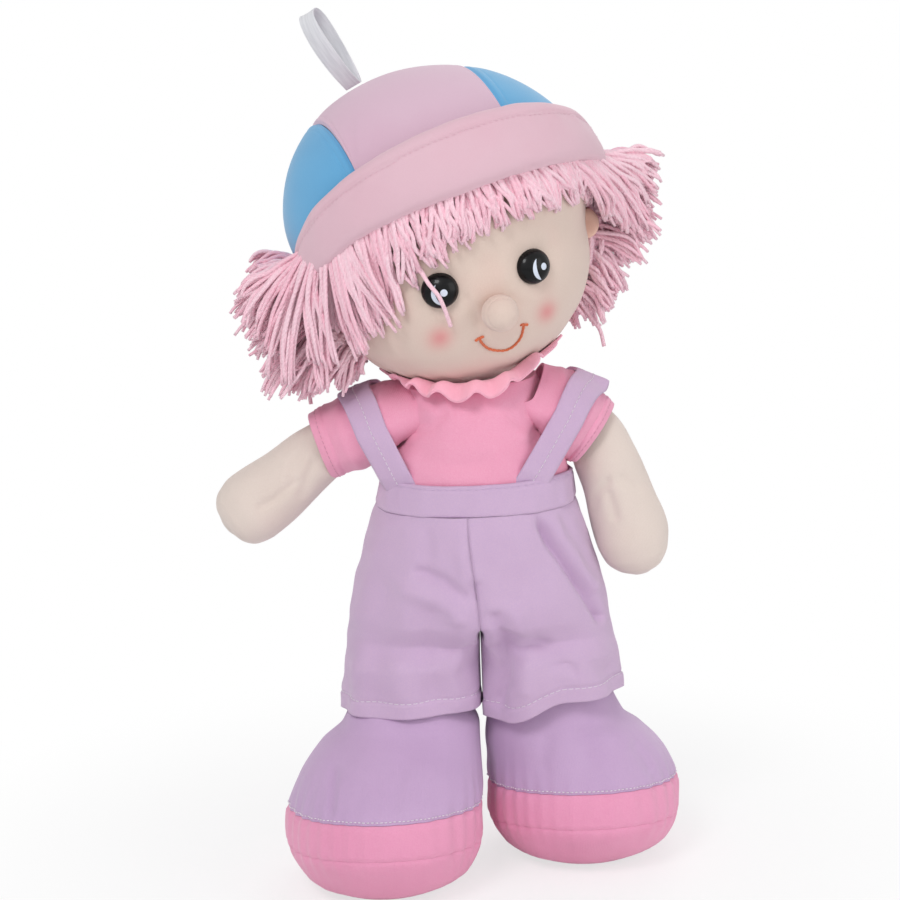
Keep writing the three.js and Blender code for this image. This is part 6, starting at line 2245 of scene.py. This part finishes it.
        column = (np.abs(below - 7.2) + 100 * (out < 0.6)).argmin(1)
        tall = (height[:, 0] > 12.0).nonzero()[0]
        away = np.pad(outward[tall], ((0, 0), (0, 1)))
        seam = stitches(rings[tall, column[tall]], away, 3.0, 1.7, 0.11)
        surface = merged(skin(rings), seam.finished(1)).moved(self.leaned).moved(from_cap)
        made = self.shop.piece("brim_roll", surface, (BRIM_CLOTH, BRIM_THREAD), "cap_brim", ("cap_brim",), "head")

    def loop(self) -> None:
        """Makes the ribbon loop: a flat section carried round a teardrop that stands with its point on the crown."""
        turn = (np.arange(self.loop_rows) + 0.5) / self.loop_rows * 2 * np.pi
        bulge = (self.loop_bulge - 0.45) * np.sin(turn) * np.sin(turn / 2)
        rise = (self.loop_length - 1.35) * (1 - np.cos(turn)) / 2 + 0.9
        line = stacked(bulge, 0.0, rise)
        tangent = unit(np.gradient(line, axis=0))
        normal = stacked(tangent[:, 2], 0.0, -tangent[:, 0])
        angle, turn = turns(self.loop_columns), turn[:, None]
        across = self.ribbon_width / 2 * fuller(np.cos(angle), 6.0)
        thick = self.ribbon_thickness / 2 * fuller(np.sin(angle), 4.0) * 0.8
        curl = 0.5 * np.sin(2.5 * turn) * (across / (self.ribbon_width / 2)) ** 2
        rings = line[:, None] + (thick + curl)[..., None] * normal[:, None]
        rings = rings + (across * (1 + 0.04 * np.sin(3 * turn)))[..., None] * BACKWARD
        x, y = self.loop_place
        level = np.sqrt(1 - (x / self.half_width) ** 2 - (y / self.half_depth) ** 2)
        foot = self.rise + self.half_height * level + 0.4
        placed = rings @ rotation(Axis.Z, self.loop_turn).T @ rotation(Axis.Y, self.loop_lean).T + [x, y, foot]
        surface = skin(placed - [self.lean, 0.0, 0.0]).moved(from_cap)
        self.shop.piece("ribbon_loop", surface, (RIBBON_SATIN,), "ribbon", ("hang_loop",), "loop")


# Studio


def aimed(name: str, data: bpy.types.ID, axes: Array, place: Array) -> bpy.types.Object:
    """New object of the scene with the given axes as its columns, at a place in metres."""
    matrix = np.eye(4)
    matrix[:3, :3], matrix[:3, 3] = axes, place
    made = linked(name, data)
    made.matrix_world = Matrix(matrix.tolist())
    return made


@dataclass
class Studio:
    """A pale floor, a white background for the camera, soft lamps, and the camera."""

    target: Triple = (-11.5, 0.0, 211.0)
    distance: float = 1.203
    elevation: float = 12.0
    roll: float = 2.0
    lens: float = 100.0
    sensor: float = 36.0
    floor_size: float = 12.0
    floor_drop: float = 0.0002
    lamp_target: Triple = (0.0, 0.0, 0.2)
    world_light: float = 0.53

    def build(self) -> None:
        """Sets up everything that isn't the doll."""
        scene = bpy.context.scene
        scene.view_settings.view_transform = "Standard"
        self.world(scene)
        self.floor()
        self.lamp("key_lamp", (-0.55, -1.25, 1.45), 0.55, 11.9)
        self.lamp("fill_lamp", (1.3, -0.9, 0.6), 1.2, 6.2)
        self.lamp("back_lamp", (0.4, 1.2, 1.3), 1.0, 4.8)
        self.camera(scene)

    def world(self, scene: bpy.types.Scene) -> None:
        """Makes the world: white for camera, glossy and transmission rays, a softer light for the rest."""
        world = bpy.data.worlds.new("studio_world")
        world.use_nodes = True
        graph = Graph(world.node_tree)
        rays = graph.node("ShaderNodeLightPath").outputs
        seen = graph.math("MAXIMUM", rays["Is Camera Ray"], rays["Is Glossy Ray"])
        seen = graph.math("MAXIMUM", seen, rays["Is Transmission Ray"])
        background = graph.node("ShaderNodeBackground")
        light = graph.mapped(seen, To_Min=self.world_light, To_Max=1.0)
        graph.feed(background, Color=(1.0, 1.0, 1.0, 1.0), Strength=light)
        graph.feed(graph.node("ShaderNodeOutputWorld"), Surface=background.outputs["Background"])
        scene.world = world

    def floor(self) -> None:
        """Makes the floor, matt white, just under the soles; for the camera it fades to plain white further out."""
        half = self.floor_size / 2
        mesh = bpy.data.meshes.new("floor")
        corners = [(-half, -half, 0.0), (half, -half, 0.0), (half, half, 0.0), (-half, half, 0.0)]
        mesh.from_pydata(corners, [], [(0, 1, 2, 3)])
        paint = Paint("floor_paper")
        paper = paint.blend(paint.noise(paint.place(), 40.0, 3.0), linear((250, 250, 250)), linear((247, 247, 248)))
        paint.feed(paint.shader, Base_Color=paper, Roughness=0.95, Specular_IOR_Level=0.1)
        spot = paint.wired(paint.node("ShaderNodeVectorMath", operation="LENGTH"), {0: paint.place()}, "Value")
        fade = paint.node("ShaderNodeMapRange", interpolation_type="SMOOTHSTEP")
        paint.feed(fade, Value=spot, From_Min=0.1, From_Max=0.34, To_Min=0.68, To_Max=1.0)
        camera_ray = paint.node("ShaderNodeLightPath").outputs["Is Camera Ray"]
        share = paint.math("MULTIPLY", camera_ray, fade.outputs["Result"])
        parts = {0: share, 1: paint.shader.outputs[0], 2: paint.node("ShaderNodeEmission").outputs[0]}
        paint.feed(paint.output, Surface=paint.wired(paint.node("ShaderNodeMixShader"), parts, 0))
        mesh.materials.append(paint.material)
        made = linked("floor", mesh)
        made.location.z = -self.floor_drop

    def lamp(self, name: str, place: Triple, size: float, power: float) -> None:
        """Makes one square area lamp that faces the doll's middle."""
        light = bpy.data.lights.new(name, "AREA")
        light.size, light.energy = size, power
        back = unit(np.array(place) - np.array(self.lamp_target))
        side = unit(np.cross([0.0, 0.0, 1.0], back))
        aimed(name, light, stacked(side, np.cross(back, side), back), np.array(place))

    def camera(self, scene: bpy.types.Scene) -> None:
        """Makes the camera: level round the doll, raised by the elevation and rolled a little."""
        tilt, roll = np.radians(self.elevation), np.radians(self.roll)
        forward = np.array([0.0, np.cos(tilt), -np.sin(tilt)])
        right = np.array([1.0, 0.0, 0.0])
        up = np.cross(right, forward)
        turned = np.cos(roll) * right - np.sin(roll) * up, np.sin(roll) * right + np.cos(roll) * up
        data = bpy.data.cameras.new("camera")
        data.lens, data.sensor_width = self.lens, self.sensor
        data.clip_start, data.clip_end = 0.05, 60.0
        place = np.array(metres(np.array(self.target))) - forward * self.distance
        scene.camera = aimed("camera", data, stacked(*turned, -forward), place)


def dress_washers(shop: Workshop) -> None:
    """Gives the two hidden washers, kept from the CAD model, their material."""
    for name in ("eye_washer_right", "eye_washer_left"):
        for place in bpy.data.objects[name].material_slots:
            place.material = shop.finish(WASHER_PLASTIC)


def main() -> None:
    """Builds every sub-assembly and the studio."""
    logging.basicConfig(level=logging.INFO, format="%(message)s")
    shop = Workshop()
    for part in (Trunk(shop), Face(shop), Hair(shop), Cap(shop), Shirt(shop), Dungarees(shop), Arms(shop), Legs(shop)):
        LOG.info("building %s", type(part).__name__)
        part.build()
    dress_washers(shop)
    Studio().build()


if __name__ == "__main__":
    main()
